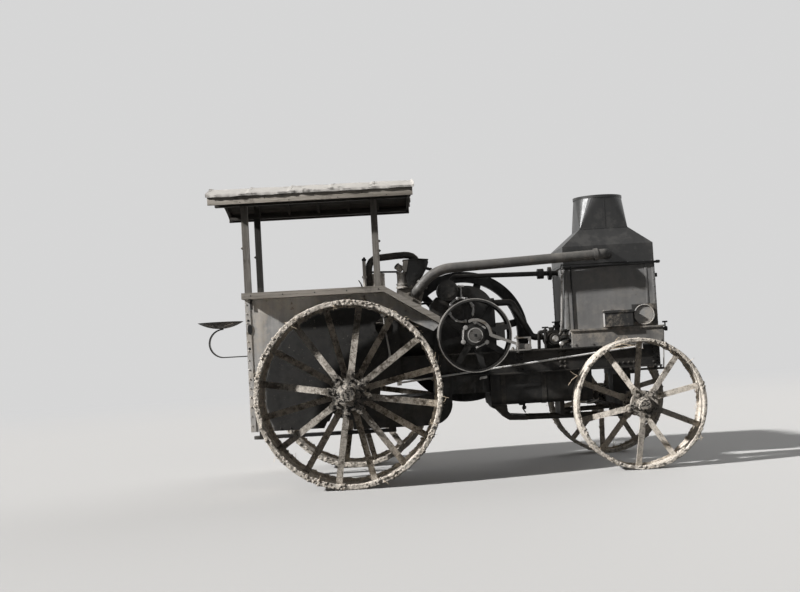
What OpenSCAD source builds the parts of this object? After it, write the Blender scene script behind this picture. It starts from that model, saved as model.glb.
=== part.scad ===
// Heavy two-cylinder kerosene farm tractor with a horizontal engine and a cooling tower.
// X runs forward, Y to the left side and Z up. The origin is on the ground, midway along the length.
// A length named "ahead" is measured forward from the rear axle.

/* [Stance] */
// Distance from the rear axle to the front axle
wheelbase = 2570; // [2500:10:2900]
// Radius of a rear wheel over its rim
rear_wheel_r = 813; // [780:1:816]
// Width of a rear rim
rear_face = 508; // [400:2:560]
// Distance between the middles of the rear rims
rear_track = 1752; // [1752:2:1900]
// Radius of a front wheel over its rim
front_wheel_r = 578; // [565:1:590]
// Width of a front rim
front_face = 240; // [150:2:260]
// Distance between the middles of the front rims
front_track = 1540; // [1520:2:1700]

/* [Wheels] */
// Thickness of a rear rim
rear_rim_t = 14; // [10:1:24]
// Depth of the flanges along the edges of a rear rim
rear_lip = 42; // [30:1:50]
// Thickness of the flanges along the edges of the rims
lip_t = 13; // [8:1:18]
// Spokes in each of the two rows of a rear wheel
rear_spokes = 8; // [6:1:10]
// Width of a rear spoke
rear_spoke_w = 56; // [40:1:70]
// Thickness of a rear spoke
rear_spoke_t = 14; // [10:1:20]
// Radius of a rear hub barrel
rear_hub_r = 105; // [95:1:120]
// Radius of the lobed flanges of a rear hub
rear_flange_r = 205; // [180:1:230]
// Radius of the cap on a rear hub
rear_cap_r = 62; // [55:1:72]
// How far a rear hub stands out past its rim
rear_hub_out = 45; // [40:1:60]
// Turn of the first rear spoke above level
rear_spoke_turn = -9.5; // [-45:0.5:45]
// Thickness of a front rim
front_rim_t = 12; // [8:1:20]
// Depth of the flanges along the edges of a front rim
front_lip = 28; // [22:1:36]
// Spokes in each of the two rows of a front wheel
front_spokes = 5; // [4:1:8]
// Width of a front spoke
front_spoke_w = 50; // [36:1:60]
// Thickness of a front spoke
front_spoke_t = 12; // [8:1:16]
// Radius of a front hub barrel
front_hub_r = 66; // [58:1:76]
// Radius of the lobed flanges of a front hub
front_flange_r = 170; // [140:1:180]
// Radius of the cap on a front hub
front_cap_r = 50; // [44:1:56]
// How far a front hub stands out past its rim
front_hub_out = 150; // [100:1:160]
// Turn of the first front spoke above level
front_spoke_turn = 49; // [0:1:72]
// Thickness of a hub flange
flange_t = 36; // [24:1:50]
// Length of a hub's nose from its flange to the end of its cap
nose_len = 60; // [50:1:70]
// Thickness of the end of a hub's cap
cap_t = 14; // [10:1:20]

/* [Axles and steering] */
// Radius of the rear axle
rear_axle_r = 50; // [40:1:60]
// Radius of a front wheel spindle
spindle_r = 32; // [26:1:38]
// Radius of a kingpin
kingpin_r = 22; // [18:1:26]
// Distance between the two kingpins
kingpin_span = 1120; // [1100:5:1160]
// Height of a knuckle barrel
knuckle_h = 130; // [110:1:150]
// Radius of a knuckle barrel
knuckle_r = 45; // [40:1:52]
// Length of a steering arm from its kingpin
steer_arm = 200; // [180:1:210]
// Width of a steering arm
steer_arm_w = 36; // [30:1:38]
// Radius of the tie rod
tie_rod_r = 14; // [10:1:18]
// Height of the front axle beam
beam_h = 90; // [70:1:100]
// Width of the front axle beam
beam_w = 90; // [70:1:100]

/* [Frame] */
// Height of the frame's underside above the ground
frame_z = 885; // [870:1:920]
// Depth of a frame channel
frame_h = 215; // [180:1:240]
// Distance between the inner faces of the channels
frame_gap = 600; // [560:2:620]
// Width of a channel flange with its web
channel_w = 75; // [60:1:90]
// Thickness of a channel
channel_t = 12; // [8:1:16]
// How far the frame reaches behind the rear axle
frame_tail = 900; // [850:5:960]
// How far ahead of the rear axle the frame ends
frame_nose = 2900; // [2860:5:3000]

/* [Cab] */
// Distance across the outer faces of the two sills
cab_w = 1216; // [1200:2:1226]
// Width of a sill, which stands out past its sheet as a ledge
ledge_w = 165; // [150:1:175]
// Thickness of a sheet
sheet_t = 6; // [4:1:10]
// How far the cab reaches behind the rear axle
cab_tail = 930; // [905:1:960]
// How far ahead of the rear axle the level sill ends
sill_ahead = 350; // [320:5:380]
// Height of the top of the level sill
sill_z = 1760; // [1720:5:1800]
// Height of a wooden sill
sill_h = 56; // [40:1:70]
// How far ahead of the rear axle the sloping sill ends
slope_ahead = 850; // [800:5:900]
// Height of the top of the sloping sill at its low end
slope_z = 1450; // [1420:5:1480]
// Thickness of the floor plates
floor_t = 12; // [8:1:16]
// Side of a roof post
post = 60; // [45:1:75]
// Distance of the middle of a roof post from the middle plane
post_y = 520; // [500:1:540]
// How far ahead of the rear axle the right side sheet ends
sheet_ahead = 470; // [440:5:475]
// Height of the foot of the side sheets behind the axle
sheet_foot = 490; // [460:5:560]
// Radius of the round hole in the right side sheet
port_r = 82; // [60:1:90]
// Width of the ring round the hole
port_ring = 42; // [20:1:46]

/* [Roof] */
// Height of the underside of the roof's side boards
eave_z = 2560; // [2450:5:2700]
// Height of the roof's boards
fascia_h = 74; // [50:1:90]
// Thickness of the roof's boards
fascia_t = 24; // [18:1:32]
// Distance across the side boards
roof_w = 1440; // [1300:10:1500]
// How far the roof reaches behind the rear axle
roof_tail = 1190; // [1050:10:1250]
// How far ahead of the rear axle the roof ends
roof_ahead = 660; // [560:10:700]
// Rise of the curved roof at its middle
roof_rise = 118; // [80:1:180]
// Thickness of the roof
roof_t = 22; // [12:1:30]
// How far the roof stands out past its boards
roof_lip = 12; // [0:1:30]

/* [Seat and drawbar] */
// Radius of the iron seat pan
seat_r = 215; // [190:1:230]
// Height of the rim of the seat pan
seat_z = 1520; // [1480:5:1560]
// Depth of the seat pan
seat_dip = 62; // [40:1:80]
// How far the seat reaches behind the rear axle
seat_tail = 1420; // [1390:5:1460]
// How far the seat stands to the right of the middle
seat_off = 150; // [100:5:250]
// Height of the top of the drawbar
drawbar_z = 420; // [390:5:450]
// Thickness of the drawbar
drawbar_t = 30; // [20:1:40]
// Width of the drawbar
drawbar_w = 110; // [90:1:130]
// How far the drawbar reaches behind the rear axle
drawbar_tail = 960; // [950:5:1000]
// How far behind the rear axle the drawbar pin hole lies
pin_hole_tail = 915; // [905:5:925]
// Radius of the drawbar pin hole
pin_hole_r = 17; // [12:0.5:22]

/* [Engine] */
// How far ahead of the rear axle the crankshaft lies
crank_ahead = 1130; // [1120:5:1160]
// Height of the crankshaft
crank_z = 1260; // [1250:5:1280]
// Radius of the crankshaft
crank_r = 45; // [38:1:52]
// Radius of the rounded crankcase cover
cover_r = 265; // [240:1:280]
// Width of the crankcase cover
cover_w = 500; // [420:2:540]
// Height of the middle of the rounded crankcase cover
cover_z = 1470; // [1460:5:1480]
// Radius of the drum behind the cover
drum_r = 98; // [80:1:105]
// Radius of the bolted plate on the side of the cover
plate_r = 132; // [110:1:136]
// Radius of the flywheel
flywheel_r = 650; // [600:5:660]
// Distance of the flywheel's inner face from the middle plane
flywheel_y = 440; // [410:1:470]
// Width of the flywheel rim
flywheel_w = 100; // [80:1:110]
// Thickness of the flywheel rim
flywheel_t = 105; // [70:1:120]
// Radius of the belt pulley
pulley_r = 325; // [300:1:335]
// Width of the belt pulley
pulley_w = 215; // [180:1:230]
// Thickness of the belt pulley's rim
pulley_t = 14; // [10:1:20]
// Arms of the belt pulley
pulley_arms = 8; // [5:1:8]
// Turn of the first arm of the belt pulley above level
pulley_turn = 12; // [0:1:45]
// Radius of the clutch's end plate
nose_r = 70; // [58:1:78]
// Toggles round the clutch
toggles = 3; // [2:1:4]
// Turn of the first toggle above level
toggle_turn = 55; // [0:1:90]
// How far the belt pulley's outer face lies to the right of the middle
pulley_y = 950; // [930:1:970]
// Radius of an engine cylinder with its jacket
cylinder_r = 180; // [160:1:190]
// Length of the cylinders
cylinder_len = 490; // [450:5:520]
// Length of the cylinder head
head_len = 150; // [120:5:170]
// Height of the manifold box above the cylinders
manifold_h = 300; // [290:2:310]
// Width of the manifold box
manifold_w = 540; // [500:2:560]

/* [Pipes] */
// Radius of the exhaust pipe
exhaust_r = 46; // [40:1:54]
// How far the exhaust pipe runs to the right of the middle
exhaust_y = 470; // [450:5:500]
// Height of the exhaust pipe where it enters the cowl
exhaust_z = 1950; // [1930:5:1980]
// Height of the exhaust pipe where it leaves the manifold
exhaust_low = 1690; // [1680:5:1695]
// Radius of the intake pipe
intake_r = 33; // [28:1:38]
// Height of the level run of the intake pipe
intake_level = 2040; // [2035:1:2050]
// Radius of the upper coolant pipe
upper_pipe_r = 23; // [18:1:28]
// Radius of the lower coolant pipe
lower_pipe_r = 31; // [24:1:36]

/* [Cooling tower] */
// How far ahead of the rear axle the middle of the tower stands
tower_ahead = 2465; // [2440:5:2480]
// Length of the tower body
tower_l = 850; // [780:5:870]
// Width of the tower body
tower_w = 700; // [640:5:730]
// Height of the top of the tower pan
pan_z = 1265; // [1240:5:1290]
// Height of the top of the tower body
tower_z = 1850; // [1800:5:1900]
// Height of the upright part of the cowl
cowl_h = 190; // [150:5:220]
// Height of the sloping part of the cowl
cowl_slope_h = 170; // [140:5:220]
// Height of the stack above the cowl
stack_h = 320; // [260:5:380]
// Radius of the stack at its top
stack_r = 226; // [180:1:240]
// Thickness of the sheet of cowl and stack
cowl_t = 8; // [5:1:12]
// Length of the tower pan
pan_l = 850; // [800:5:860]
// How far the rim of the pan stands out
pan_rim = 14; // [8:1:20]
// How far the ledge under the cowl stands out
cowl_ledge = 14; // [8:1:20]
// Width of the tower pan
pan_w = 730; // [700:5:740]

/* [Fuel tank] */
// How far ahead of the rear axle the tank begins
tank_ahead = 1297; // [1295:1:1330]
// Length of the tank
tank_l = 950; // [850:5:970]
// Width of the tank
tank_w = 640; // [560:5:650]
// Height of the tank's underside
tank_z = 600; // [580:5:640]

/* [Clearances] */
// Gap between curved faces that seat on each other
seat_gap = 0.3; // [0.1:0.1:0.5]
// Radial gap of a turning fit
run_gap = 0.05; // [0.02:0.01:0.1]
// Gap beside a turning piece
side_gap = 6; // [5:0.5:10]

/* [Hidden] */
$fn = 64;
tiny = 0.01;
bend_lap = 4;
bend_swell = 0.5;
rear_x = -(wheelbase + front_wheel_r - seat_tail) / 2;
front_x = rear_x + wheelbase;
crank_x = rear_x + crank_ahead;
tower_x = rear_x + tower_ahead;
rear_z = rear_wheel_r;
front_z = front_wheel_r;
frame_top = frame_z + frame_h;
web_y = frame_gap / 2;
frame_half = web_y + channel_w;
cab_y = cab_w / 2 - ledge_w;
left_end = crank_ahead - flywheel_r + 20;
sill_drop = (sill_z - slope_z) / (slope_ahead - sill_ahead);
sill_deep = sill_h * sqrt(1 + pow(sill_drop, 2));
floor_z = frame_top + floor_t;

rear_in = (rear_track - rear_face) / 2;
rear_out = (rear_track + rear_face) / 2;
front_out = (front_track + front_face) / 2;
kingpin_y = kingpin_span / 2;
front_hub_in = kingpin_y + knuckle_r + side_gap;

sheet_low_front = 260;
sheet_step = 120;
strip_w = 46;
strip_t = 6;
wedge_z = 1490;
tip_slant = 60;
tip_drop = 125;
port_ahead = 336;
port_z = 1389;
port_t = 10;
door_sill = 40;
door_side = 60;

case_z = 725;
case_rear = 790;
case_front = 1290;
cover_set = -10;
drum_ahead = 950;
drum_z = 1697;
drum_out = 315;
drum_in = 60;
shoulder_z = 1640;
plate_ahead = 1080;
plate_z = 1492;
plate_t = 16;
plate_ring = 34;
block_z = 1205;
head_cap_l = 70;
head_cap_r = 60;
intake_y = 250;
intake_end = 600;
neck_ahead = 512;
neck_r = 36;
hopper_w = 170;
exhaust_start = 650;
exhaust_knee = 1890;
knee_ahead = 830;
riser_ahead = 1000;
upper_pipe_z = 1820;
pump_ahead = 1930;
pump_z = 1190;
lower_pipe_y = 120;
lower_pipe_top = 1560;
lower_pipe_low = 1215;
gearbox_z = 450;
gearbox_front = 935;
gearbox_bend = 200;
axle_drum_r = 270;
near_seat = 0.36;
far_seat = 0.66;
pan_set = 40;
stack_bead = 26;
box_out = 62;
box_h = 150;
drawbar_ahead = 400;
slot_l = 84;
slot_w = 22;
slot_pitch = 62;
spring_w = 60;
spring_t = 10;
bracket_w = 340;
rod_r = 20;
yoke_t = 24;
yoke_root = 40;
arm_t = 26;
tie_pin_r = 12;
rod_z = 440;
brace_r = 14;
strut_ahead = 1960;
strut_z = 470;
shaft_y = frame_half + 55;
shaft_rear = 430;
shaft_front = 2700;
shaft_low = 862;
shaft_high = 1080;
shaft_r = 9;
column_y = 235;
hand_wheel_r = 180;
hand_wheel_z = 1560;
clevis_ahead = 1469;
clevis_z = 1105;
clevis_h = 118;
lever_t = 16;
lever_y = pulley_y + 18;
fork_r = 136;
fork_w = 26;
hanger_w = 80;
hanger_t = 12;

roof_half = roof_w / 2 + roof_lip;
roof_arc_r = (pow(roof_half, 2) + pow(roof_rise, 2)) / (2 * roof_rise);
roof_base_z = eave_z + fascia_h;

// Place at a distance ahead of the rear axle
function ahead(a) = rear_x + a;
function unit(v) = v / norm(v);

// Height of the top and of the underside of a sloping sill at a distance ahead
function sill_high(a) = sill_z - (a - sill_ahead) * sill_drop;
function sill_low(a) = sill_z - sill_h
    - (a - sill_ahead) * (sill_z - sill_h - slope_z + sill_deep) / (slope_ahead - sill_ahead);

// Both sides of the middle plane
module both_sides() {
    children();
    mirror([0, 1, 0]) children();
}

// One side of the middle plane, -1 for the right and 1 for the left
module on_side(side) {
    mirror([0, side < 0 ? 1 : 0, 0]) children();
}

// Cylinder from point a to point b
module rod(a, b, r) {
    d = b - a;
    translate(a)
        rotate([0, acos(d.z / norm(d)), atan2(d.y, d.x)])
            cylinder(h = norm(d), r = r);
}

// Cylinder that lies across the machine between two distances from the middle
module cross_rod(x, z, y0, y1, r) {
    rod([x, y0, z], [x, y1, z], r);
}

// Plate outline drawn in X and Z, extruded across from y0 to y1
module side_plate(y0, y1) {
    translate([0, y1, 0]) rotate([90, 0, 0]) linear_extrude(y1 - y0) children();
}

// Round pipe through a list of points, with a bend radius for each inner corner.
// A bend is a little fuller than the straight lengths, which run a short way into it.
module pipe(points, r, bends) {
    last = len(points) - 1;
    into = [for (i = [0 : last - 1]) unit(points[i + 1] - points[i])];
    cut = [for (i = [0 : last])
        i == 0 || i == last ? 0 : bends[i - 1] * tan(acos(into[i - 1] * into[i]) / 2) - bend_lap];
    for (i = [0 : last - 1])
        rod(points[i] + into[i] * cut[i], points[i + 1] - into[i] * cut[i + 1], r);
    for (i = [1 : 1 : last - 1])
        pipe_bend(points[i], into[i - 1], into[i], cut[i] + bend_lap, r + bend_swell, bends[i - 1]);
}

// Bend at a corner between the directions a and b
module pipe_bend(corner, a, b, cut, r, bend) {
    n = unit(cross(a, b));
    u = cross(a, n);
    c = corner - a * cut - u * bend;
    multmatrix([
        [u.x, a.x, n.x, c.x],
        [u.y, a.y, n.y, c.y],
        [u.z, a.z, n.z, c.z],
        [0, 0, 0, 1]
    ])
        rotate_extrude(angle = acos(a * b)) translate([bend, 0]) circle(r = r);
}

// Round flange along a pipe
module collar(point, direction, r, t) {
    d = unit(direction);
    rod(point - d * t / 2, point + d * t / 2, r);
}

// Frame and floor

module frame_rails() color("#2f302d")
    both_sides()
        translate([ahead(-frame_tail), web_y, frame_z])
            rotate([90, 0, 90])
                linear_extrude(frame_tail + frame_nose)
                    difference() {
                        square([channel_w, frame_h]);
                        translate([channel_t, channel_t])
                            square([channel_w, frame_h - 2 * channel_t]);
                    }

module cross_members() color("#33342f")
    for (a = [-frame_tail, -frame_tail / 2, tank_ahead + 250, tank_ahead + 650, frame_nose - 80])
        translate([ahead(a), -web_y, frame_z])
            cube([80, frame_gap, frame_h]);

module cab_floor() color("#4a4a44") {
    translate([ahead(-cab_tail), -cab_y, frame_top])
        cube([cab_tail + case_rear - cylinder_len - head_len - 10, 2 * cab_y, floor_t]);
    both_sides()
        translate([ahead(case_rear - cylinder_len - head_len - 10), web_y + 12, frame_top])
            cube([260, cab_y - web_y - 12, floor_t]);
}

// Outline of a side sheet in X and Z, low behind the wheel.
// It is upright down to the frame at front, and its wedge under the sloping sill ends at tip.
module side_outline(front, tip, tip_z) {
    polygon([
        [ahead(-cab_tail), sill_z - sill_h],
        [ahead(-cab_tail), sheet_foot],
        [ahead(-sheet_low_front), sheet_foot],
        [ahead(-sheet_step), sheet_foot + 270],
        [ahead(-sheet_step), frame_z],
        [ahead(front), frame_z],
        [ahead(front), wedge_z],
        [ahead(tip - tip_slant), tip_z],
        [ahead(tip), sill_low(tip)],
        [ahead(sill_ahead), sill_z - sill_h]
    ]);
}

module cab_sides() color("#6d6f68") {
    both_sides()
        side_plate(cab_y + sheet_t, cab_y + sheet_t + strip_t)
            translate([ahead(-cab_tail), sheet_foot])
                square([strip_w, sill_z - sill_h - sheet_foot]);
    side_plate(cab_y, cab_y + sheet_t) side_outline(sheet_ahead - 70, left_end, wedge_z);
    difference() {
        union() {
            side_plate(-cab_y - sheet_t, -cab_y)
                side_outline(sheet_ahead, slope_ahead, slope_z - tip_drop);
            cross_rod(ahead(port_ahead), port_z, -cab_y - sheet_t - port_t, -cab_y, port_r + port_ring);
        }
        cross_rod(ahead(port_ahead), port_z, -cab_y - sheet_t - port_t - 1, 1 - cab_y, port_r);
    }
}

module cab_back() color("#63655e")
    difference() {
        translate([ahead(-cab_tail), -cab_y, floor_z])
            cube([sheet_t, 2 * cab_y, sill_z - sill_h - floor_z]);
        translate([ahead(-cab_tail) - 1, 20, floor_z + door_sill])
            cube([sheet_t + 2, cab_y - 20 - door_side, sill_z - floor_z]);
    }

// Board on the top edge of a side sheet, level and then sloping to a distance ahead
module sill_board(tip)
    side_plate(cab_y, cab_y + ledge_w)
        polygon([
            [ahead(-cab_tail - 10), sill_z],
            [ahead(-cab_tail - 10), sill_z - sill_h],
            [ahead(sill_ahead), sill_z - sill_h],
            [ahead(tip), sill_low(tip)],
            [ahead(tip), sill_high(tip)],
            [ahead(sill_ahead), sill_z]
        ]);

module cab_sills() color("#9a968a") {
    sill_board(left_end);
    on_side(-1) sill_board(slope_ahead);
}

// Roof

post_stations = [-cab_tail + 45, sill_ahead - 50];
bow_stations = concat(post_stations, [-450, -80]);

module roof_posts() color("#5b5a50")
    both_sides()
        for (a = post_stations)
            translate([ahead(a) - post / 2, post_y - post / 2, sill_z])
                cube([post, post, eave_z - sill_z]);

module roof_boards() color("#a8a294") {
    both_sides()
        translate([ahead(-roof_tail), roof_w / 2 - fascia_t, eave_z])
            cube([roof_tail + roof_ahead, fascia_t, fascia_h]);
    for (a = concat([-roof_tail, roof_ahead - fascia_t], [for (s = bow_stations) s - fascia_t / 2]))
        roof_bow(ahead(a));
    both_sides()
        translate([ahead(-roof_tail) + fascia_t, post_y - post / 2, eave_z])
            cube([roof_tail + roof_ahead - 2 * fascia_t, post, fascia_t]);
}

// Board on edge under the curve of the roof
module roof_bow(x) {
    translate([x, 0, 0]) rotate([90, 0, 90]) linear_extrude(fascia_t)
        intersection() {
            translate([(fascia_t - roof_w) / 2, eave_z])
                square([roof_w - fascia_t, fascia_h + roof_rise]);
            translate([0, roof_base_z + roof_rise - roof_arc_r])
                circle(r = roof_arc_r - seat_gap, $fn = 256);
        }
}

module roof_panel() color("#b9b6ac")
    translate([ahead(-roof_tail - roof_lip), 0, 0])
        rotate([90, 0, 90])
            linear_extrude(roof_tail + roof_ahead + 2 * roof_lip)
                intersection() {
                    translate([-roof_half, roof_base_z])
                        square([2 * roof_half, roof_rise + roof_t]);
                    difference() {
                        translate([0, roof_base_z + roof_rise - roof_arc_r])
                            circle(r = roof_arc_r + roof_t, $fn = 256);
                        translate([0, roof_base_z + roof_rise - roof_arc_r])
                            circle(r = roof_arc_r, $fn = 256);
                    }
                }

// Seat and drawbar

seat_x = ahead(-seat_tail) + seat_r;

module seat_pan() color("#3c3c38") {
    bowl_r = (pow(seat_r, 2) + pow(seat_dip, 2)) / (2 * seat_dip);
    translate([seat_x, -seat_off, seat_z])
        difference() {
            intersection() {
                translate([0, 0, bowl_r - seat_dip]) sphere(r = bowl_r);
                translate([0, 0, -seat_dip]) cylinder(h = seat_dip, r = seat_r);
            }
            translate([0, 0, bowl_r - seat_dip + sheet_t]) sphere(r = bowl_r);
            for (row = [-2 : 2])
                for (end = [-1, 1])
                    translate([end * slot_l * 1.1, row * slot_pitch, -seat_dip - 1])
                        linear_extrude(seat_dip + 2) square([slot_l, slot_w], center = true);
        }
}

// Strip bent into a half ring behind the cab, with its level foot
module seat_spring() color("#2c2c2a") {
    foot_z = floor_z + 70;
    loop_r = (seat_z - seat_dip - foot_z) / 2;
    side_plate(-seat_off - spring_w / 2, -seat_off + spring_w / 2) {
        translate([seat_x + 20, foot_z + loop_r])
            difference() {
                circle(r = loop_r);
                circle(r = loop_r - spring_t);
                translate([0, -loop_r - 1]) square(2 * loop_r + 2);
            }
        translate([seat_x + 20, foot_z])
            square([ahead(-cab_tail) - seat_x - 20, spring_t]);
    }
}

module drawbar() color("#2d2c29") {
    difference() {
        union() {
            translate([ahead(-drawbar_tail + drawbar_w / 2), -drawbar_w / 2, drawbar_z - drawbar_t])
                cube([drawbar_tail - drawbar_w / 2 + drawbar_ahead, drawbar_w, drawbar_t]);
            translate([ahead(-drawbar_tail + drawbar_w / 2), 0, drawbar_z - drawbar_t])
                cylinder(h = drawbar_t, r = drawbar_w / 2);
        }
        translate([ahead(-pin_hole_tail), 0, drawbar_z - drawbar_t - 1])
            cylinder(h = drawbar_t + 2, r = pin_hole_r);
    }
    for (y = [-drawbar_w / 2 - hanger_t, drawbar_w / 2])
        translate([ahead(-frame_tail), y, drawbar_z - drawbar_t])
            cube([hanger_w, hanger_t, frame_z - drawbar_z + drawbar_t]);
    translate([ahead(drawbar_ahead - 70), -drawbar_w / 2, drawbar_z])
        cube([70, drawbar_w, gearbox_z - drawbar_z]);
}

// Rear axle and drive

module rear_axle() color("#2a2a28") {
    translate([ahead(0), 0, rear_z])
        rotate([90, 0, 0])
            cylinder(h = 2 * (rear_out - 10), r = rear_axle_r, center = true);
    both_sides()
        translate([ahead(0), 0, 0])
            side_plate(web_y, frame_half)
                intersection() {
                    union() {
                        translate([0, rear_z]) circle(r = rear_axle_r + 35);
                        translate([-120, rear_z]) square([240, frame_z - rear_z]);
                    }
                    translate([-120, 0]) square([240, frame_z]);
                }
    both_sides()
        cross_rod(ahead(0), rear_z, rear_in - 30, rear_in - side_gap, rear_axle_r + 30);
}

module gear_case() color("#32322e")
    difference() {
        side_plate(-web_y, web_y) {
            translate([ahead(0), rear_z]) circle(r = axle_drum_r);
            intersection() {
                translate([ahead(0), gearbox_z]) square([gearbox_front, case_z - gearbox_z]);
                union() {
                    translate([ahead(0), gearbox_z]) square([gearbox_front - gearbox_bend, case_z]);
                    translate([ahead(gearbox_front - gearbox_bend), gearbox_z + gearbox_bend])
                        circle(r = gearbox_bend);
                    translate([ahead(0), gearbox_z + gearbox_bend]) square([gearbox_front, case_z]);
                }
            }
        }
        translate([ahead(0), 0, rear_z])
            rotate([90, 0, 0])
                cylinder(h = frame_gap + 2, r = rear_axle_r + seat_gap, center = true);
    }

// Engine

module crankcase() color("#30302d")
    difference() {
        union() {
            side_plate(-web_y, web_y)
                translate([ahead(case_rear), case_z])
                    square([case_front - case_rear, frame_top - case_z]);
            side_plate(-cover_w / 2, cover_w / 2) crankcase_outline();
            cross_rod(ahead(drum_ahead), drum_z, -drum_out, -drum_in, drum_r);
            cross_rod(ahead(drum_ahead), drum_z, -drum_out - 8, -drum_in, drum_r - 26);
            side_plate(-cover_w / 2 - plate_t, -cover_w / 2)
                translate([ahead(plate_ahead), plate_z]) circle(r = plate_r);
            side_plate(-cover_w / 2 - 2 * plate_t, -cover_w / 2)
                translate([ahead(plate_ahead), plate_z]) difference() {
                    circle(r = plate_r);
                    circle(r = plate_r - plate_ring);
                }
            translate([crank_x + cover_set + cover_r, -cover_w / 2 - 80, block_z])
                cube([75, 150, 165]);
            cross_rod(crank_x, crank_z, -flywheel_y + 25, flywheel_y - side_gap, crank_r + 50);
            translate([ahead(riser_ahead), 0, crank_z + 340]) cylinder(h = 160, r = upper_pipe_r + 20);
            rod([ahead(case_front - 10), -lower_pipe_y, lower_pipe_top],
                [crank_x - 10 + cover_r + 10, -lower_pipe_y, lower_pipe_top], lower_pipe_r + 18);
        }
        cross_rod(crank_x, crank_z, -rear_out, rear_out, crank_r + run_gap);
    }

// Outline of the crankcase above the frame, with its rounded cover and the shoulder behind it
module crankcase_outline() {
    translate([ahead(case_rear), frame_top - 1])
        square([case_front - case_rear, crank_z + 120 - frame_top]);
    translate([crank_x + cover_set, cover_z]) circle(r = cover_r);
    translate([crank_x + cover_set - cover_r, frame_top])
        square([2 * cover_r, cover_z - frame_top]);
    polygon([
        [ahead(case_rear), frame_top],
        [ahead(case_rear), shoulder_z - 60],
        [ahead(case_rear + 50), shoulder_z],
        [ahead(drum_ahead), shoulder_z],
        [ahead(drum_ahead + 60), frame_top]
    ]);
}

module cylinder_profile(r, half) {
    translate([-half, -r]) square([2 * half, 2 * r]);
    for (side = [-1, 1]) translate([side * half, 0]) circle(r = r);
}

cylinder_half = web_y - 10 - cylinder_r;

module cylinder_block() color("#35352f")
    translate([ahead(case_rear - cylinder_len), 0, crank_z])
        rotate([90, 0, 90])
            linear_extrude(cylinder_len)
                cylinder_profile(cylinder_r, cylinder_half);

module cylinder_head() color("#3a3a34") {
    head_x = ahead(case_rear - cylinder_len - head_len);
    difference() {
        translate([head_x, 0, crank_z]) {
            rotate([90, 0, 90])
                linear_extrude(head_len)
                    cylinder_profile(cylinder_r + 8, cylinder_half);
            for (side = [-1, 1])
                translate([-head_cap_l, side * cylinder_half, 0])
                    rotate([0, 90, 0])
                        cylinder(h = head_cap_l, r = head_cap_r);
            translate([65, -intake_y, 40]) cylinder(h = cylinder_r - 40, r = intake_r + 14);
        }
        translate([head_x + head_len / 2, 0, crank_z])
            rotate([90, 0, 90])
                linear_extrude(14)
                    difference() {
                        cylinder_profile(cylinder_r + 20, cylinder_half);
                        cylinder_profile(cylinder_r - 6, cylinder_half);
                    }
    }
}

manifold_top = crank_z + cylinder_r + manifold_h;

module manifold_box() color("#77776e")
    side_plate(-manifold_w / 2, manifold_w / 2)
        translate([0, crank_z + cylinder_r])
            polygon([
                [ahead(480), 0],
                [ahead(480), manifold_h],
                [ahead(668), manifold_h],
                [ahead(728), manifold_h - 52],
                [ahead(698), manifold_h - 136],
                [ahead(698), 0]
            ]);

// Upright neck with its flange and the hopper that it carries on the manifold
module carburettor() color("#3b3b37")
    translate([ahead(0), -intake_y, manifold_top]) {
        translate([neck_ahead, 0, 0]) cylinder(h = 165, r = neck_r);
        for (z = [28, 118])
            translate([neck_ahead, 0, z]) cylinder(h = 14, r = neck_r + 11);
        side_plate(-hopper_w / 2, hopper_w / 2)
            polygon([
                [548, 0], [667, 0], [741, 147], [781, 239], [710, 271],
                [568, 265], [488, 180], [536, 158]
            ]);
        side_plate(-48, 48)
            polygon([
                [intake_end, 262], [intake_end, intake_level - manifold_top + 42],
                [intake_end + 55, intake_level - manifold_top + 38], [710, 268]
            ]);
        cross_rod(760, 195, hopper_w / 2, hopper_w / 2 + 25, 24);
    }

module intake_pipe() color("#2f2f2c")
    pipe([
        [ahead(215), -intake_y, crank_z + cylinder_r],
        [ahead(215), -intake_y, intake_level],
        [ahead(intake_end), -intake_y, intake_level]
    ], intake_r, [75]);

// Pipe out of the manifold's side, up and forward, and into the side of the cowl
module exhaust_pipe() color("#4b4b46") {
    end_a = tower_ahead - 15;
    steep = (exhaust_knee - exhaust_low) / (knee_ahead - exhaust_start);
    slight = (exhaust_z - exhaust_knee) / (end_a - knee_ahead);
    pipe([
        [ahead(exhaust_start), -manifold_w / 2, exhaust_low],
        [ahead(exhaust_start), -exhaust_y, exhaust_low],
        [ahead(knee_ahead), -exhaust_y, exhaust_knee],
        [ahead(end_a), -exhaust_y, exhaust_z],
        [ahead(end_a), -tower_w / 2, exhaust_z]
    ], exhaust_r, [60, 380, 95]);
    collar([ahead(end_a - 125), -exhaust_y, exhaust_z - 125 * slight], [1, 0, slight], exhaust_r + 12, 34);
    collar([ahead(exhaust_start + 60), -exhaust_y, exhaust_low + 60 * steep], [1, 0, steep],
        exhaust_r + 11, 22);
}

// Cooling tower

module tower_body() color("#7b7c77")
    translate([tower_x - tower_l / 2, -tower_w / 2, pan_z])
        cube([tower_l, tower_w, tower_z - pan_z]);

module slab(l, w, z) {
    translate([-l / 2, -w / 2, z]) cube([l, w, tiny]);
}

// Closed form of the cowl and stack, drawn in by the sheet's thickness for the inside
module cowl_form(inset, below, above) {
    base_l = tower_l - 2 * inset;
    base_w = tower_w - 2 * inset;
    neck = 2 * (stack_r - inset);
    knee = tower_z + cowl_h;
    neck_z = knee + cowl_slope_h;
    translate([-base_l / 2, -base_w / 2, tower_z - below]) cube([base_l, base_w, cowl_h + below]);
    hull() {
        slab(base_l, base_w, knee - tiny);
        slab(neck, neck, neck_z);
    }
    hull() {
        slab(neck, neck, neck_z);
        translate([0, 0, neck_z + stack_h]) cylinder(h = tiny + above, r = stack_r - inset, $fn = 48);
    }
}

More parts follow.
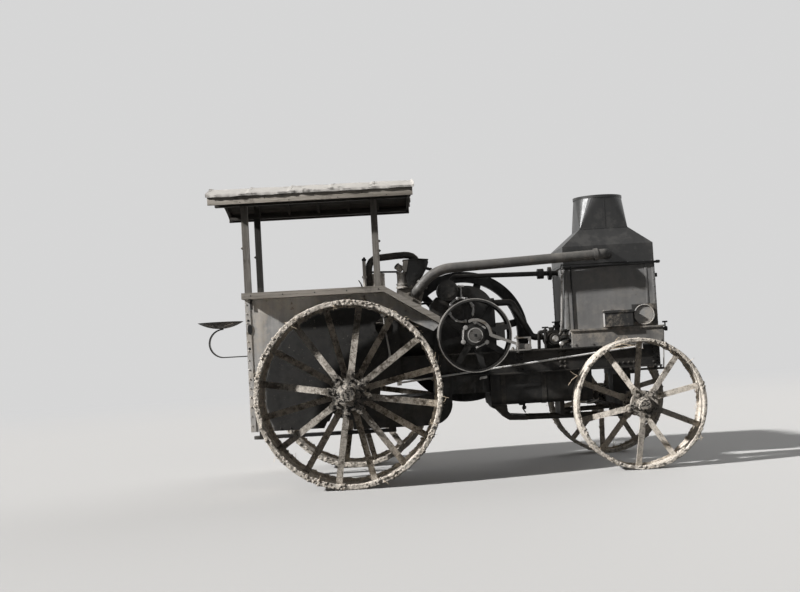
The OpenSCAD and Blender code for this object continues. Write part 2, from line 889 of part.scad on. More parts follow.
module tower_cowl() color("#6f706b")
    translate([tower_x, 0, 0])
        difference() {
            union() {
                cowl_form(0, 0, 0);
                translate([-tower_l / 2 - cowl_ledge, -tower_w / 2 - cowl_ledge, tower_z])
                    cube([tower_l + 2 * cowl_ledge, tower_w + 2 * cowl_ledge, cowl_t]);
                translate([0, 0, tower_z + cowl_h + cowl_slope_h + stack_h - stack_bead])
                    cylinder(h = stack_bead, r = stack_r + cowl_t, $fn = 48);
            }
            cowl_form(cowl_t, 1, 1);
        }

module tower_pan() color("#8b8b84")
    translate([tower_x + pan_set, 0, 0]) {
        translate([-pan_l / 2, -pan_w / 2, frame_top])
            cube([pan_l, pan_w, pan_z - frame_top]);
        translate([-pan_l / 2 - pan_rim, -pan_w / 2 - pan_rim, pan_z - 16])
            cube([pan_l + 2 * pan_rim, pan_w + 2 * pan_rim, 16]);
    }

// Box with a lid on the side of the tower, and a round plate on its panel
module tower_boxes() color("#4c4c47") {
    box_l = 262;
    translate([tower_x - 80, -tower_w / 2, pan_z + 8]) {
        translate([0, -box_out, 0]) cube([box_l, box_out, box_h]);
        translate([-8, -box_out - 8, box_h - 22]) cube([box_l + 16, box_out + 8, 22]);
    }
    translate([tower_x + 188, -tower_w / 2 - 8, pan_z + 3])
        cube([tower_l / 2 - 190, 8, 200]);
    translate([tower_x + 300, -tower_w / 2 - 8, pan_z + 104])
        rotate([90, 0, 0]) {
            cylinder(h = 8, r = 88);
            difference() {
                cylinder(h = 16, r = 98);
                translate([0, 0, -1]) cylinder(h = 18, r = 84);
            }
        }
}

module coolant_pipes() color("#3a3a36") {
    inlet = tower_ahead - tower_l / 2;
    pipe([
        [ahead(riser_ahead), 0, crank_z + 500],
        [ahead(riser_ahead), 0, upper_pipe_z + 20],
        [ahead(inlet - 5), 0, upper_pipe_z]
    ], upper_pipe_r, [60]);
    rod([ahead(inlet - 16), 0, upper_pipe_z], [ahead(inlet), 0, upper_pipe_z], upper_pipe_r + 6);
    collar([ahead(inlet - 170), 0, upper_pipe_z + 1], [1, 0, 0], upper_pipe_r + 26, 60);
    collar([ahead(inlet - 80), 0, upper_pipe_z], [1, 0, 0], upper_pipe_r + 40, 30);
    pipe([
        [crank_x + cover_set + cover_r + 10, -lower_pipe_y, lower_pipe_top],
        [ahead(1560), -lower_pipe_y, lower_pipe_top],
        [ahead(1740), -lower_pipe_y, lower_pipe_low],
        [ahead(pump_ahead - 90), -lower_pipe_y, lower_pipe_low]
    ], lower_pipe_r, [60, 60]);
}

// Pump with its foot, outlet, gland and priming valve
module coolant_pump() color("#3a3934") {
    cross_rod(ahead(pump_ahead), pump_z, -190, -50, 85);
    cross_rod(ahead(pump_ahead), pump_z, -214, -190, 62);
    cross_rod(ahead(pump_ahead), pump_z, -300, -214, 28);
    cross_rod(ahead(pump_ahead), pump_z, -318, -300, 52);
    translate([ahead(pump_ahead - 70), -185, frame_top]) cube([150, 130, 40]);
    rod([ahead(pump_ahead + 60), -lower_pipe_y, lower_pipe_low],
        [ahead(tower_ahead + pan_set - pan_l / 2 - pan_rim - 1), -lower_pipe_y, lower_pipe_low], 42);
    translate([ahead(pump_ahead + 45), -150, pump_z]) cylinder(h = 150, r = 22);
    translate([ahead(pump_ahead + 45), -150, pump_z + 105]) cylinder(h = 22, r = 36);
    translate([ahead(pump_ahead + 45), -150, pump_z + 150]) cylinder(h = 12, r = 44);
}

// Tank, front axle and steering

module fuel_tank() color("#2b2b29")
    translate([ahead(tank_ahead), 0, 0])
        rotate([90, 0, 90])
            linear_extrude(tank_l)
                union() {
                    translate([-tank_w / 2, tank_z + 60]) square([tank_w, frame_z - tank_z - 60]);
                    translate([-tank_w / 2 + 60, tank_z]) square([tank_w - 120, 61]);
                    for (side = [-1, 1])
                        translate([side * (tank_w / 2 - 60), tank_z + 60]) circle(r = 60);
                }

beam_top = front_z + beam_h / 2;

module front_pedestal() color("#2f2f2c")
    translate([front_x - 85, 0, 0]) {
        translate([0, -web_y, frame_z - 60]) cube([170, frame_gap, 60]);
        translate([0, -110, beam_top]) cube([170, 220, frame_z - beam_top]);
    }

// Beam that ends in a fork for each knuckle
module front_axle() color("#31312e") {
    fork_in = kingpin_y - knuckle_r - side_gap;
    fork_half = knuckle_h / 2 + side_gap;
    translate([front_x - beam_w / 2, -fork_in, front_z - beam_h / 2])
        cube([beam_w, 2 * fork_in, beam_h]);
    both_sides() {
        for (z = [front_z - fork_half - yoke_t, front_z + fork_half]) {
            translate([front_x - beam_w / 2, fork_in - yoke_root, z])
                cube([beam_w, kingpin_y - fork_in + yoke_root, yoke_t]);
            translate([front_x, kingpin_y, z]) cylinder(h = yoke_t, r = beam_w / 2);
        }
        translate([front_x - beam_w / 2, fork_in - yoke_root, front_z - fork_half])
            cube([beam_w, yoke_root, 2 * fork_half]);
        translate([front_x, kingpin_y, front_z - fork_half - yoke_t])
            cylinder(h = 2 * fork_half + 2 * yoke_t + 12, r = kingpin_r);
    }
}

// Knuckle with its spindle and steering arm on one side
module knuckle(side)
    on_side(side)
        difference() {
            union() {
                translate([front_x, kingpin_y, front_z - knuckle_h / 2])
                    cylinder(h = knuckle_h, r = knuckle_r);
                cross_rod(front_x, front_z, kingpin_y, front_out + front_hub_out - 20, spindle_r);
                translate([front_x - steer_arm, kingpin_y, front_z - knuckle_h / 2]) {
                    translate([0, -steer_arm_w / 2, 0]) cube([steer_arm, steer_arm_w, arm_t]);
                    cylinder(h = arm_t, r = 30);
                    cylinder(h = arm_t + 46, r = tie_pin_r);
                }
            }
            translate([front_x, kingpin_y, front_z - knuckle_h / 2 - 1])
                cylinder(h = knuckle_h + 2, r = kingpin_r + run_gap);
        }

module knuckle_right() color("#3a3a36") knuckle(-1);
module knuckle_left() color("#3a3a36") knuckle(1);

eye_h = 30;
tie_z = front_z - knuckle_h / 2 + arm_t + side_gap + eye_h / 2;

module tie_rod() color("#2f2f2c")
    difference() {
        union() {
            cross_rod(front_x - steer_arm, tie_z, -kingpin_y, kingpin_y, tie_rod_r);
            both_sides()
                translate([front_x - steer_arm, kingpin_y, tie_z - eye_h / 2])
                    cylinder(h = eye_h, r = 26);
        }
        both_sides()
            translate([front_x - steer_arm, kingpin_y, tie_z - eye_h])
                cylinder(h = 2 * eye_h, r = tie_pin_r + run_gap);
    }

// Two rods back from the axle to a bracket under the tank, with their braces
module radius_rods() color("#2c2c29") {
    both_sides() {
        rod([ahead(1560), 150, rod_z + 22], [front_x, 80, rod_z], rod_r);
        rod([ahead(strut_ahead + 20), 150, 500],
            [front_x - 40, 90, front_z - beam_h / 2 - brace_r - 1], brace_r);
    }
    side_plate(-bracket_w / 2, bracket_w / 2)
        polygon([
            [ahead(tank_ahead + 3), tank_z],
            [ahead(tank_ahead + 25), tank_z - 34],
            [ahead(1366), 548],
            [ahead(1436), 468],
            [ahead(1470), 447],
            [ahead(1640), 438],
            [ahead(1640), 480],
            [ahead(1500), 492],
            [ahead(1462), 530],
            [ahead(1455), tank_z]
        ]);
    translate([ahead(strut_ahead), -bracket_w / 2, strut_z]) cube([40, bracket_w, tank_z - strut_z]);
    translate([front_x - 40, -110, rod_z - rod_r]) cube([80, 220, front_z - beam_h / 2 - rod_z + rod_r]);
}

module steering_shaft() color("#8a877c") {
    rod([ahead(shaft_rear), -shaft_y, shaft_low], [ahead(shaft_front), -shaft_y, shaft_high], shaft_r);
    translate([ahead(shaft_rear), -shaft_y - 22, frame_z - 44]) cube([40, shaft_y + 2 - web_y, 44]);
    translate([ahead(shaft_front - 30), -shaft_y - 22, frame_top - 46])
        cube([40, shaft_y + 22 - frame_half, 46]);
}

module steering_column() color("#33332f") {
    foot = [ahead(60), -column_y, floor_z];
    top = [ahead(-60), -column_y, hand_wheel_z];
    translate(foot) cylinder(h = 16, r = 50);
    rod(foot + [0, 0, 8], top, 20);
    translate(top) rotate([0, -14, 0]) {
        rotate_extrude() translate([hand_wheel_r, 0]) circle(r = 13);
        cylinder(h = 40, r = 32, center = true);
        for (a = [0, 120, 240])
            rotate([0, 0, a]) translate([0, -12, -6]) cube([hand_wheel_r - 5, 24, 12]);
    }
}

// Fork round the clutch and its lever, pivoted in a clevis that an arm carries from the frame
module clutch_bracket() color("#85837a") {
    pin_x = ahead(clevis_ahead + 26);
    translate([ahead(1500), -frame_half, frame_top]) cube([150, channel_w, 12]);
    translate([ahead(clevis_ahead + 90), -lever_y, frame_top + 12])
        cube([52, lever_y - web_y, 48]);
    side_plate(-lever_y - 25, -lever_y + 25) {
        translate([ahead(clevis_ahead), clevis_z]) square([142, 12]);
        translate([ahead(clevis_ahead), clevis_z + clevis_h - 12]) square([142, 12]);
        translate([ahead(clevis_ahead + 130), clevis_z]) square([12, clevis_h]);
    }
    for (z = [clevis_z - 14, clevis_z + clevis_h])
        translate([pin_x, -lever_y, z]) cylinder(h = 14, r = 13);
    translate([pin_x, -lever_y, clevis_z]) cylinder(h = clevis_h, r = 8);
    translate([pin_x, -lever_y, clevis_z + 40]) cylinder(h = 36, r = 17);
    side_plate(-lever_y - lever_t / 2, -lever_y + lever_t / 2) {
        difference() {
            fork_outline();
            translate([crank_x, crank_z]) circle(r = fork_r - fork_w / 2);
        }
        polygon([
            [crank_x + fork_r - 9, crank_z + 16],
            [crank_x + fork_r - 3, crank_z - 18],
            [pin_x, clevis_z + 46],
            [pin_x, clevis_z + 70]
        ]);
    }
}

// Half ring over the clutch, ending in a foot toward its collar
module fork_outline() {
    intersection() {
        translate([crank_x, crank_z]) circle(r = fork_r + fork_w / 2);
        translate([crank_x, crank_z])
            polygon([[0, 0], [400, -30], [400, 400], [-90, 400], [-42, 126]]);
    }
    translate([crank_x, crank_z]) rotate(108) translate([fork_r - 40, -13]) square([50, 26]);
}

// Crankshaft and what turns with it

// Shaft with the clutch's end plate and nose outside the belt pulley
module crankshaft() color("#4d4c47") {
    cross_rod(crank_x, crank_z, -pulley_y - 2, flywheel_y + flywheel_w + 25, crank_r);
    cross_rod(crank_x, crank_z, -pulley_y - 34, -pulley_y - 2, nose_r);
    cross_rod(crank_x, crank_z, -pulley_y - 58, -pulley_y - 34, 29);
}

// Hub, tapered arms and rim of a wheel on the crankshaft, from its inner face outward
module crank_wheel(r, w, t, hub_r, arms, arm_w, turn) {
    difference() {
        cylinder(h = w, r = r, $fn = 128);
        translate([0, 0, -1]) cylinder(h = w + 2, r = r - t, $fn = 128);
    }
    difference() {
        union() {
            cylinder(h = w, r = hub_r);
            for (i = [0 : arms - 1])
                rotate([0, 0, turn + i * 360 / arms])
                    translate([0, 0, w / 2 - 20])
                        linear_extrude(40)
                            polygon([
                                [hub_r - 10, -arm_w * 0.52],
                                [r - t + 10, -arm_w * 0.4],
                                [r - t + 10, arm_w * 0.4],
                                [hub_r - 10, arm_w * 0.52]
                            ]);
        }
        translate([0, 0, -1]) cylinder(h = w + 2, r = crank_r + seat_gap);
    }
}

module flywheel() color("#3d3d3a")
    translate([crank_x, flywheel_y + flywheel_w, crank_z])
        rotate([90, 0, 0])
            crank_wheel(flywheel_r, flywheel_w, flywheel_t, 110, 6, 90, 12);

// Belt pulley with the clutch's body and its three toggles in its outer side
module belt_pulley() color("#504f4a")
    translate([crank_x, -pulley_y + pulley_w, crank_z])
        rotate([90, 0, 0]) {
            crank_wheel(pulley_r, pulley_w, pulley_t, 88, pulley_arms, 58, pulley_turn);
            for (edge = [0, pulley_w - 10])
                translate([0, 0, edge])
                    difference() {
                        cylinder(h = 10, r = pulley_r - pulley_t + 1, $fn = 128);
                        translate([0, 0, -1]) cylinder(h = 12, r = pulley_r - pulley_t - 10, $fn = 128);
                    }
            difference() {
                translate([0, 0, pulley_w - 72]) cylinder(h = 46, r = 106);
                translate([0, 0, -1]) cylinder(h = pulley_w + 2, r = crank_r + seat_gap);
            }
            for (i = [0 : toggles - 1])
                rotate([0, 0, toggle_turn + i * 360 / toggles]) clutch_toggle();
        }

// Pair of plates and a pin at the edge of the clutch's body
module clutch_toggle() {
    translate([84, -50, pulley_w - 40]) cube([14, 100, 34]);
    translate([104, -50, pulley_w - 40]) cube([14, 100, 34]);
    translate([84, -16, pulley_w - 50]) cube([34, 32, 36]);
    translate([101, 62, pulley_w - 50]) cylinder(h = 48, r = 22);
    translate([84, 34, pulley_w - 50]) cube([30, 30, 34]);
}

// Road wheels, drawn on the left side with the axle along Y

// Rim with a flange turned in along each edge
module rim(out, face, r, t, lip)
    translate([0, out, 0])
        rotate([90, 0, 0])
            difference() {
                cylinder(h = face, r = r, $fn = 96);
                translate([0, 0, -1]) cylinder(h = face + 2, r = r - lip, $fn = 96);
                translate([0, 0, lip_t]) cylinder(h = face - 2 * lip_t, r = r - t, $fn = 96);
            }

// One row of flat spokes from a hub flange to the rim
module spoke_row(n, turn, hub_y, rim_y, hub_r, rim_r, w, t) {
    lean = atan2(rim_y - hub_y, rim_r - hub_r);
    for (i = [0 : n - 1])
        rotate([0, -turn - i * 360 / n, 0])
            translate([hub_r, hub_y, 0])
                rotate([0, 0, lean])
                    translate([0, -t / 2, -w / 2])
                        cube([norm([rim_r - hub_r, rim_y - hub_y]) + 20, t, w]);
}

// Flange with a round lobe for every spoke
module lobed_flange(y0, y1, r, n, turn, w) {
    lobe = w * 0.66;
    side_plate(y0, y1) {
        circle(r = r * 0.7);
        for (i = [0 : n - 1])
            rotate(turn + i * 360 / n) {
                translate([0, -lobe]) square([r - lobe, 2 * lobe]);
                translate([r - lobe, 0]) circle(r = lobe);
            }
    }
}

// Barrel of a hub with its tapered nose and cap, drawn along Y
module hub_barrel(in, near_y, tip_y, barrel, cap)
    rotate([-90, 0, 0])
        rotate_extrude()
            polygon([
                [0, in],
                [barrel, in],
                [barrel, near_y + 10],
                [cap + 12, near_y + 24],
                [cap + 4, tip_y - 16],
                [cap - 8, tip_y],
                [0, tip_y]
            ]);

module hub(side, z, x, in, out, face, reach, barrel, cap, flange, rim_in_r, n, turn, w, t, bore) {
    tip_y = out + reach;
    near_y = tip_y - nose_len;
    far_y = in + 30;
    translate([x, 0, z])
        on_side(side)
            difference() {
                union() {
                    hub_barrel(in, near_y, tip_y, barrel, cap);
                    lobed_flange(near_y - flange_t, near_y, flange, n, turn, w);
                    lobed_flange(far_y, far_y + flange_t, flange, n, turn + 180 / n, w);
                    intersection() {
                        union() {
                            spoke_row(n, turn, near_y - flange_t / 2, out - face * near_seat,
                                barrel, rim_in_r, w, t);
                            spoke_row(n, turn + 180 / n, far_y + flange_t / 2, out - face * far_seat,
                                barrel, rim_in_r, w, t);
                        }
                        cross_rod(0, 0, in, tip_y, rim_in_r - seat_gap, $fn = 360);
                    }
                }
                cross_rod(0, 0, in - 1, tip_y - cap_t, bore + run_gap);
            }
}

module rear_rim(side) color("#a39d8d")
    on_side(side)
        translate([ahead(0), 0, rear_z])
            rim(rear_out, rear_face, rear_wheel_r, rear_rim_t, rear_lip);

module rear_hub(side) color("#8f897a")
    hub(side, rear_z, ahead(0), rear_in, rear_out, rear_face, rear_hub_out, rear_hub_r, rear_cap_r,
        rear_flange_r, rear_wheel_r - rear_rim_t, rear_spokes, rear_spoke_turn, rear_spoke_w,
        rear_spoke_t, rear_axle_r);

module rear_rim_right() rear_rim(-1);
module rear_rim_left() rear_rim(1);
module rear_hub_right() rear_hub(-1);
module rear_hub_left() rear_hub(1);

module front_rim(side) color("#aaa494")
    on_side(side)
        translate([front_x, 0, front_z])
            rim(front_out, front_face, front_wheel_r, front_rim_t, front_lip);

module front_hub(side) color("#989282")
    hub(side, front_z, front_x, front_hub_in, front_out, front_face, front_hub_out, front_hub_r,
        front_cap_r, front_flange_r, front_wheel_r - front_rim_t, front_spokes, front_spoke_turn,
        front_spoke_w, front_spoke_t, spindle_r);

module front_rim_right() front_rim(-1);
module front_rim_left() front_rim(1);
module front_hub_right() front_hub(-1);
module front_hub_left() front_hub(1);

frame_rails();
cross_members();
cab_floor();
cab_sides();
cab_back();
cab_sills();
roof_posts();
roof_boards();
roof_panel();
seat_pan();
seat_spring();
drawbar();
rear_axle();
gear_case();
crankcase();
cylinder_block();
cylinder_head();
manifold_box();
carburettor();
intake_pipe();
exhaust_pipe();
tower_body();
tower_cowl();
tower_pan();
tower_boxes();
coolant_pipes();
coolant_pump();
fuel_tank();
front_pedestal();
front_axle();
radius_rods();
steering_shaft();
steering_column();
clutch_bracket();
crankshaft();
flywheel();
belt_pulley();
rear_rim_right();
rear_hub_right();
rear_rim_left();
rear_hub_left();
knuckle_right();
knuckle_left();
tie_rod();
front_rim_right();
front_hub_right();
front_rim_left();
front_hub_left();
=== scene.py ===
"""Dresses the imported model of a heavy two-cylinder kerosene farm tractor for rendering.

Every length is in metres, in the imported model's frame: X forward, Y to the left side, Z up.
"""
import logging
import math
from dataclasses import dataclass, field
from enum import Enum
from typing import Callable, Sequence

import bmesh
import bpy
from mathutils import Matrix, Vector, noise


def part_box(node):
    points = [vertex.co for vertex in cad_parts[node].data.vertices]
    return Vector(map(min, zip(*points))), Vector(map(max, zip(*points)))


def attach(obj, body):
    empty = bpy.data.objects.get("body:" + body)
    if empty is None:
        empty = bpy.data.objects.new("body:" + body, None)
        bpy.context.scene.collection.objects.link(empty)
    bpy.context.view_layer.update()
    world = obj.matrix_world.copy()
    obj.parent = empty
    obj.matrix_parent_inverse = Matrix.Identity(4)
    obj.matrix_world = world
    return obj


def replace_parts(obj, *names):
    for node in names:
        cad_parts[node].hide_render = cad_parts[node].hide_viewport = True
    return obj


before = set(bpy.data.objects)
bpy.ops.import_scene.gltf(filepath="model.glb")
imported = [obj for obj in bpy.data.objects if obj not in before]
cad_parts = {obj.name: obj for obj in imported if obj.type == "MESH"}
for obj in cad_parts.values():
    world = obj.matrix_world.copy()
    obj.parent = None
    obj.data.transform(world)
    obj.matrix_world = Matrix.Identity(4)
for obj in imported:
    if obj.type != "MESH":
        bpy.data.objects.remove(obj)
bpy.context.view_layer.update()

FRAME_SIZE = (800, 592)

log = logging.getLogger("tractor")
Colour = tuple[float, float, float]
Value = "float | Colour | Socket"

RIGHT, LEFT = -1, 1
# X and Z of the axles, the crankshaft and the exhaust pipe's elbow
REAR_AXLE, FRONT_AXLE = (-0.864, 0.813), (1.706, 0.578)
CRANK, ELBOW = (0.266, 1.26), (1.61, 1.94)
# Middle of the cooling tower and of the roof, and the roof boards' inner half sizes, inside which the boards get
# painted shade
TOWER_X, ROOF_X = 1.601, -1.129
ROOF_INNER = (0.920, 0.715)
POSTS_X, POST_Y = (-1.749, -0.564), 0.52


def grey(level: float, warmth: float = 0.0) -> Colour:
    """Turn a display tone into a linear colour.

    Args:
        level: Tone from 0, black, to 1, white, as a screen shows it.
        warmth: Share by which red rises and blue falls.

    Returns:
        The linear red, green and blue.
    """
    def linear(tone: float) -> float:
        """Undo the screen's curve."""
        return tone / 12.92 if tone <= 0.04045 else ((tone + 0.055) / 1.055) ** 2.4
    return (linear(level * (1 + warmth)), linear(level * (1 + warmth * 0.15)), linear(level * (1 - warmth)))


def at_y(y: float, *spots: tuple[float, float]) -> list[Vector]:
    """Place pairs of X and Z on a plane across the tractor."""
    return [Vector((x, y, z)) for x, z in spots]


def on_circle(centre: tuple[float, float], radius: float, angle: float, y: float) -> Vector:
    """Give a place on a circle round a line across the tractor.

    Args:
        centre: X and Z of the line.
        radius: Radius of the circle.
        angle: Angle in radians up from the X axis.
        y: Place along the line.

    Returns:
        The place.
    """
    return Vector((centre[0] + radius * math.cos(angle), y, centre[1] + radius * math.sin(angle)))


def hoop(centre: Vector, side: Vector, up: Vector, radius: float, sides: int) -> list[Vector]:
    """Give the points of a circle that starts toward its side and turns toward its up."""
    angles = (2 * math.pi * k / sides for k in range(sides))
    return [centre + (side * math.cos(a) + up * math.sin(a)) * radius for a in angles]


def math_sign(operation: str, turned: bool = False) -> Callable[..., "Socket"]:
    """Give the method by which a sign in a Python expression adds a Math node.

    Args:
        operation: Operation of the node.
        turned: Whether the other value comes first.

    Returns:
        The method.
    """
    def method(self: "Socket", *others: Value) -> "Socket":
        """Add the node."""
        values = (*others, self) if turned else (self, *others)
        return self.graph.add("ShaderNodeMath", {"operation": operation}, dict(enumerate(values)))
    return method


class Socket:
    """A value in a node tree that takes part in Python expressions.

    The signs | and & take the larger and the smaller of two values.
    """

    def __init__(self, graph: "Graph", source: bpy.types.NodeSocket) -> None:
        """Keep the graph and the output that gives the value."""
        self.graph = graph
        self.source = source

    __add__ = __radd__ = math_sign("ADD")
    __sub__, __rsub__ = math_sign("SUBTRACT"), math_sign("SUBTRACT", True)
    __mul__ = __rmul__ = math_sign("MULTIPLY")
    __pow__, __abs__ = math_sign("POWER"), math_sign("ABSOLUTE")
    __or__, __and__ = math_sign("MAXIMUM"), math_sign("MINIMUM")

    def part(self, name: str) -> "Socket":
        """Give another output of the same node."""
        return Socket(self.graph, self.source.node.outputs[name])

    def rise(self, start: float, end: float) -> "Socket":
        """Turn the value into a smooth step.

        Args:
            start: Value where the step is 0.
            end: Value where the step is 1; below start, the step falls.

        Returns:
            The step, from 0 to 1.
        """
        low, high = (start, end) if start < end else (end, start)
        step = self.graph.add("ShaderNodeMapRange", {"interpolation_type": "SMOOTHSTEP", "clamp": True},
                              {"Value": self, "From Min": low, "From Max": high})
        return step if start < end else 1 - step


class Graph:
    """A node tree that is written as Python."""

    def __init__(self, tree: bpy.types.NodeTree) -> None:
        """Keep the tree."""
        self.tree = tree

    def add(self, kind: str, settings: dict | None = None, values: dict | None = None,
            output: int | str = 0) -> Socket:
        """Add a node.

        Args:
            kind: Blender's name for the type of node.
            settings: Settings of the node, which are set first.
            values: Value or link of each input, by its name or number.
            output: Output to give back.

        Returns:
            The output as a value.
        """
        node = self.tree.nodes.new(kind)
        for name, value in (settings or {}).items():
            setattr(node, name, value)
        for name, value in (values or {}).items():
            shown = [s for s in node.inputs if s.name == name and s.enabled]
            self.feed(shown[0] if shown else node.inputs[name], value)
        outputs = [s for s in node.outputs if s.enabled] if isinstance(output, int) else node.outputs
        return Socket(self, outputs[output])

    def join(self, *parts: Socket) -> Socket:
        """Join several geometries into one."""
        node = self.tree.nodes.new("GeometryNodeJoinGeometry")
        for part in parts:
            self.tree.links.new(part.source, node.inputs[0])
        return Socket(self, node.outputs[0])

    def feed(self, target: bpy.types.NodeSocket, value: Value) -> None:
        """Link or set an input."""
        if isinstance(value, Socket):
            self.tree.links.new(value.source, target)
        elif isinstance(value, tuple) and target.type == "RGBA":
            target.default_value = (*value, 1.0)
        else:
            target.default_value = value


class Shade(Graph):
    """A material whose patterns lie in the object's own coordinates."""

    def __init__(self, name: str) -> None:
        """Start an empty material."""
        self.material = bpy.data.materials.new(name)
        self.material.use_nodes = True
        self.material.node_tree.nodes.clear()
        super().__init__(self.material.node_tree)
        self.place = self.add("ShaderNodeTexCoord", output="Object")
        self.facing = self.place.part("Normal")

    def stretched(self, x: float, y: float, z: float) -> Socket:
        """Give the coordinates multiplied along each axis."""
        return self.add("ShaderNodeMapping", {"vector_type": "POINT"}, {"Vector": self.place, "Scale": (x, y, z)})

    def cloud(self, scale: float, detail: float = 4.0, rough: float = 0.55, place: Socket | None = None,
              bend: float = 0.0) -> Socket:
        """Give a noise value.

        Args:
            scale: Patterns per metre.
            detail: Octaves of finer noise.
            rough: Share that each finer octave keeps.
            place: Coordinates, when not the plain ones.
            bend: Distortion.

        Returns:
            The noise, about 0.5 on average.
        """
        return self.add("ShaderNodeTexNoise", {}, {
            "Vector": place or self.place, "Scale": scale, "Detail": detail, "Roughness": rough, "Distortion": bend})

    def cells(self, scale: float, feature: str = "F1") -> Socket:
        """Give the distance to the nearest cell point or cell edge."""
        return self.add("ShaderNodeTexVoronoi", {"feature": feature}, {"Vector": self.place, "Scale": scale},
                        output="Distance")

    def axis(self, vector: Socket, name: str) -> Socket:
        """Give one part of a vector, X, Y or Z."""
        return self.add("ShaderNodeSeparateXYZ", {}, {"Vector": vector}, output=name)

    def from_axis(self, at: tuple[float, float]) -> Socket:
        """Give the distance from a line across the tractor.

        Args:
            at: X and Z of the line.

        Returns:
            The distance in metres.
        """
        away = self.add("ShaderNodeVectorMath", {"operation": "SUBTRACT"}, {0: self.place, 1: (at[0], 0.0, at[1])})
        flat = self.add("ShaderNodeVectorMath", {"operation": "MULTIPLY"}, {0: away, 1: (1.0, 0.0, 1.0)})
        return self.add("ShaderNodeVectorMath", {"operation": "LENGTH"}, {0: flat}, output="Value")

    def mix(self, mask: Value, a: Value, b: Value) -> Socket:
        """Mix two colours by a mask."""
        node = self.add("ShaderNodeMix", {"data_type": "RGBA"}).source.node
        colours = [s for s in node.inputs if s.type == "RGBA"]
        self.feed(node.inputs["Factor"], mask)
        self.feed(colours[0], a)
        self.feed(colours[1], b)
        return Socket(self, next(s for s in node.outputs if s.type == "RGBA"))

    def relief(self, height: Socket, distance: float, strength: float = 1.0, under: Socket | None = None) -> Socket:
        """Turn a height into a bumped normal.

        Args:
            height: Height from 0 to 1.
            distance: Depth in metres of the full height.
            strength: Share of the effect.
            under: Normal that this one is laid over.

        Returns:
            The bumped normal.
        """
        laid = {} if under is None else {"Normal": under}
        return self.add("ShaderNodeBump", {}, {"Height": height, "Distance": distance, "Strength": strength, **laid})

    def surface(self, **values: Value) -> bpy.types.Material:
        """Close the material with its surface.

        Args:
            values: Inputs of the surface, an underscore standing for a space in a name.

        Returns:
            The material.
        """
        shader = self.add("ShaderNodeBsdfPrincipled", {}, {k.replace("_", " "): v for k, v in values.items()})
        self.add_output(shader)
        return self.material

    def add_output(self, shader: Socket) -> None:
        """Send a shader to the material's output."""
        out = self.tree.nodes.new("ShaderNodeOutputMaterial")
        self.tree.links.new(shader.source, out.inputs["Surface"])


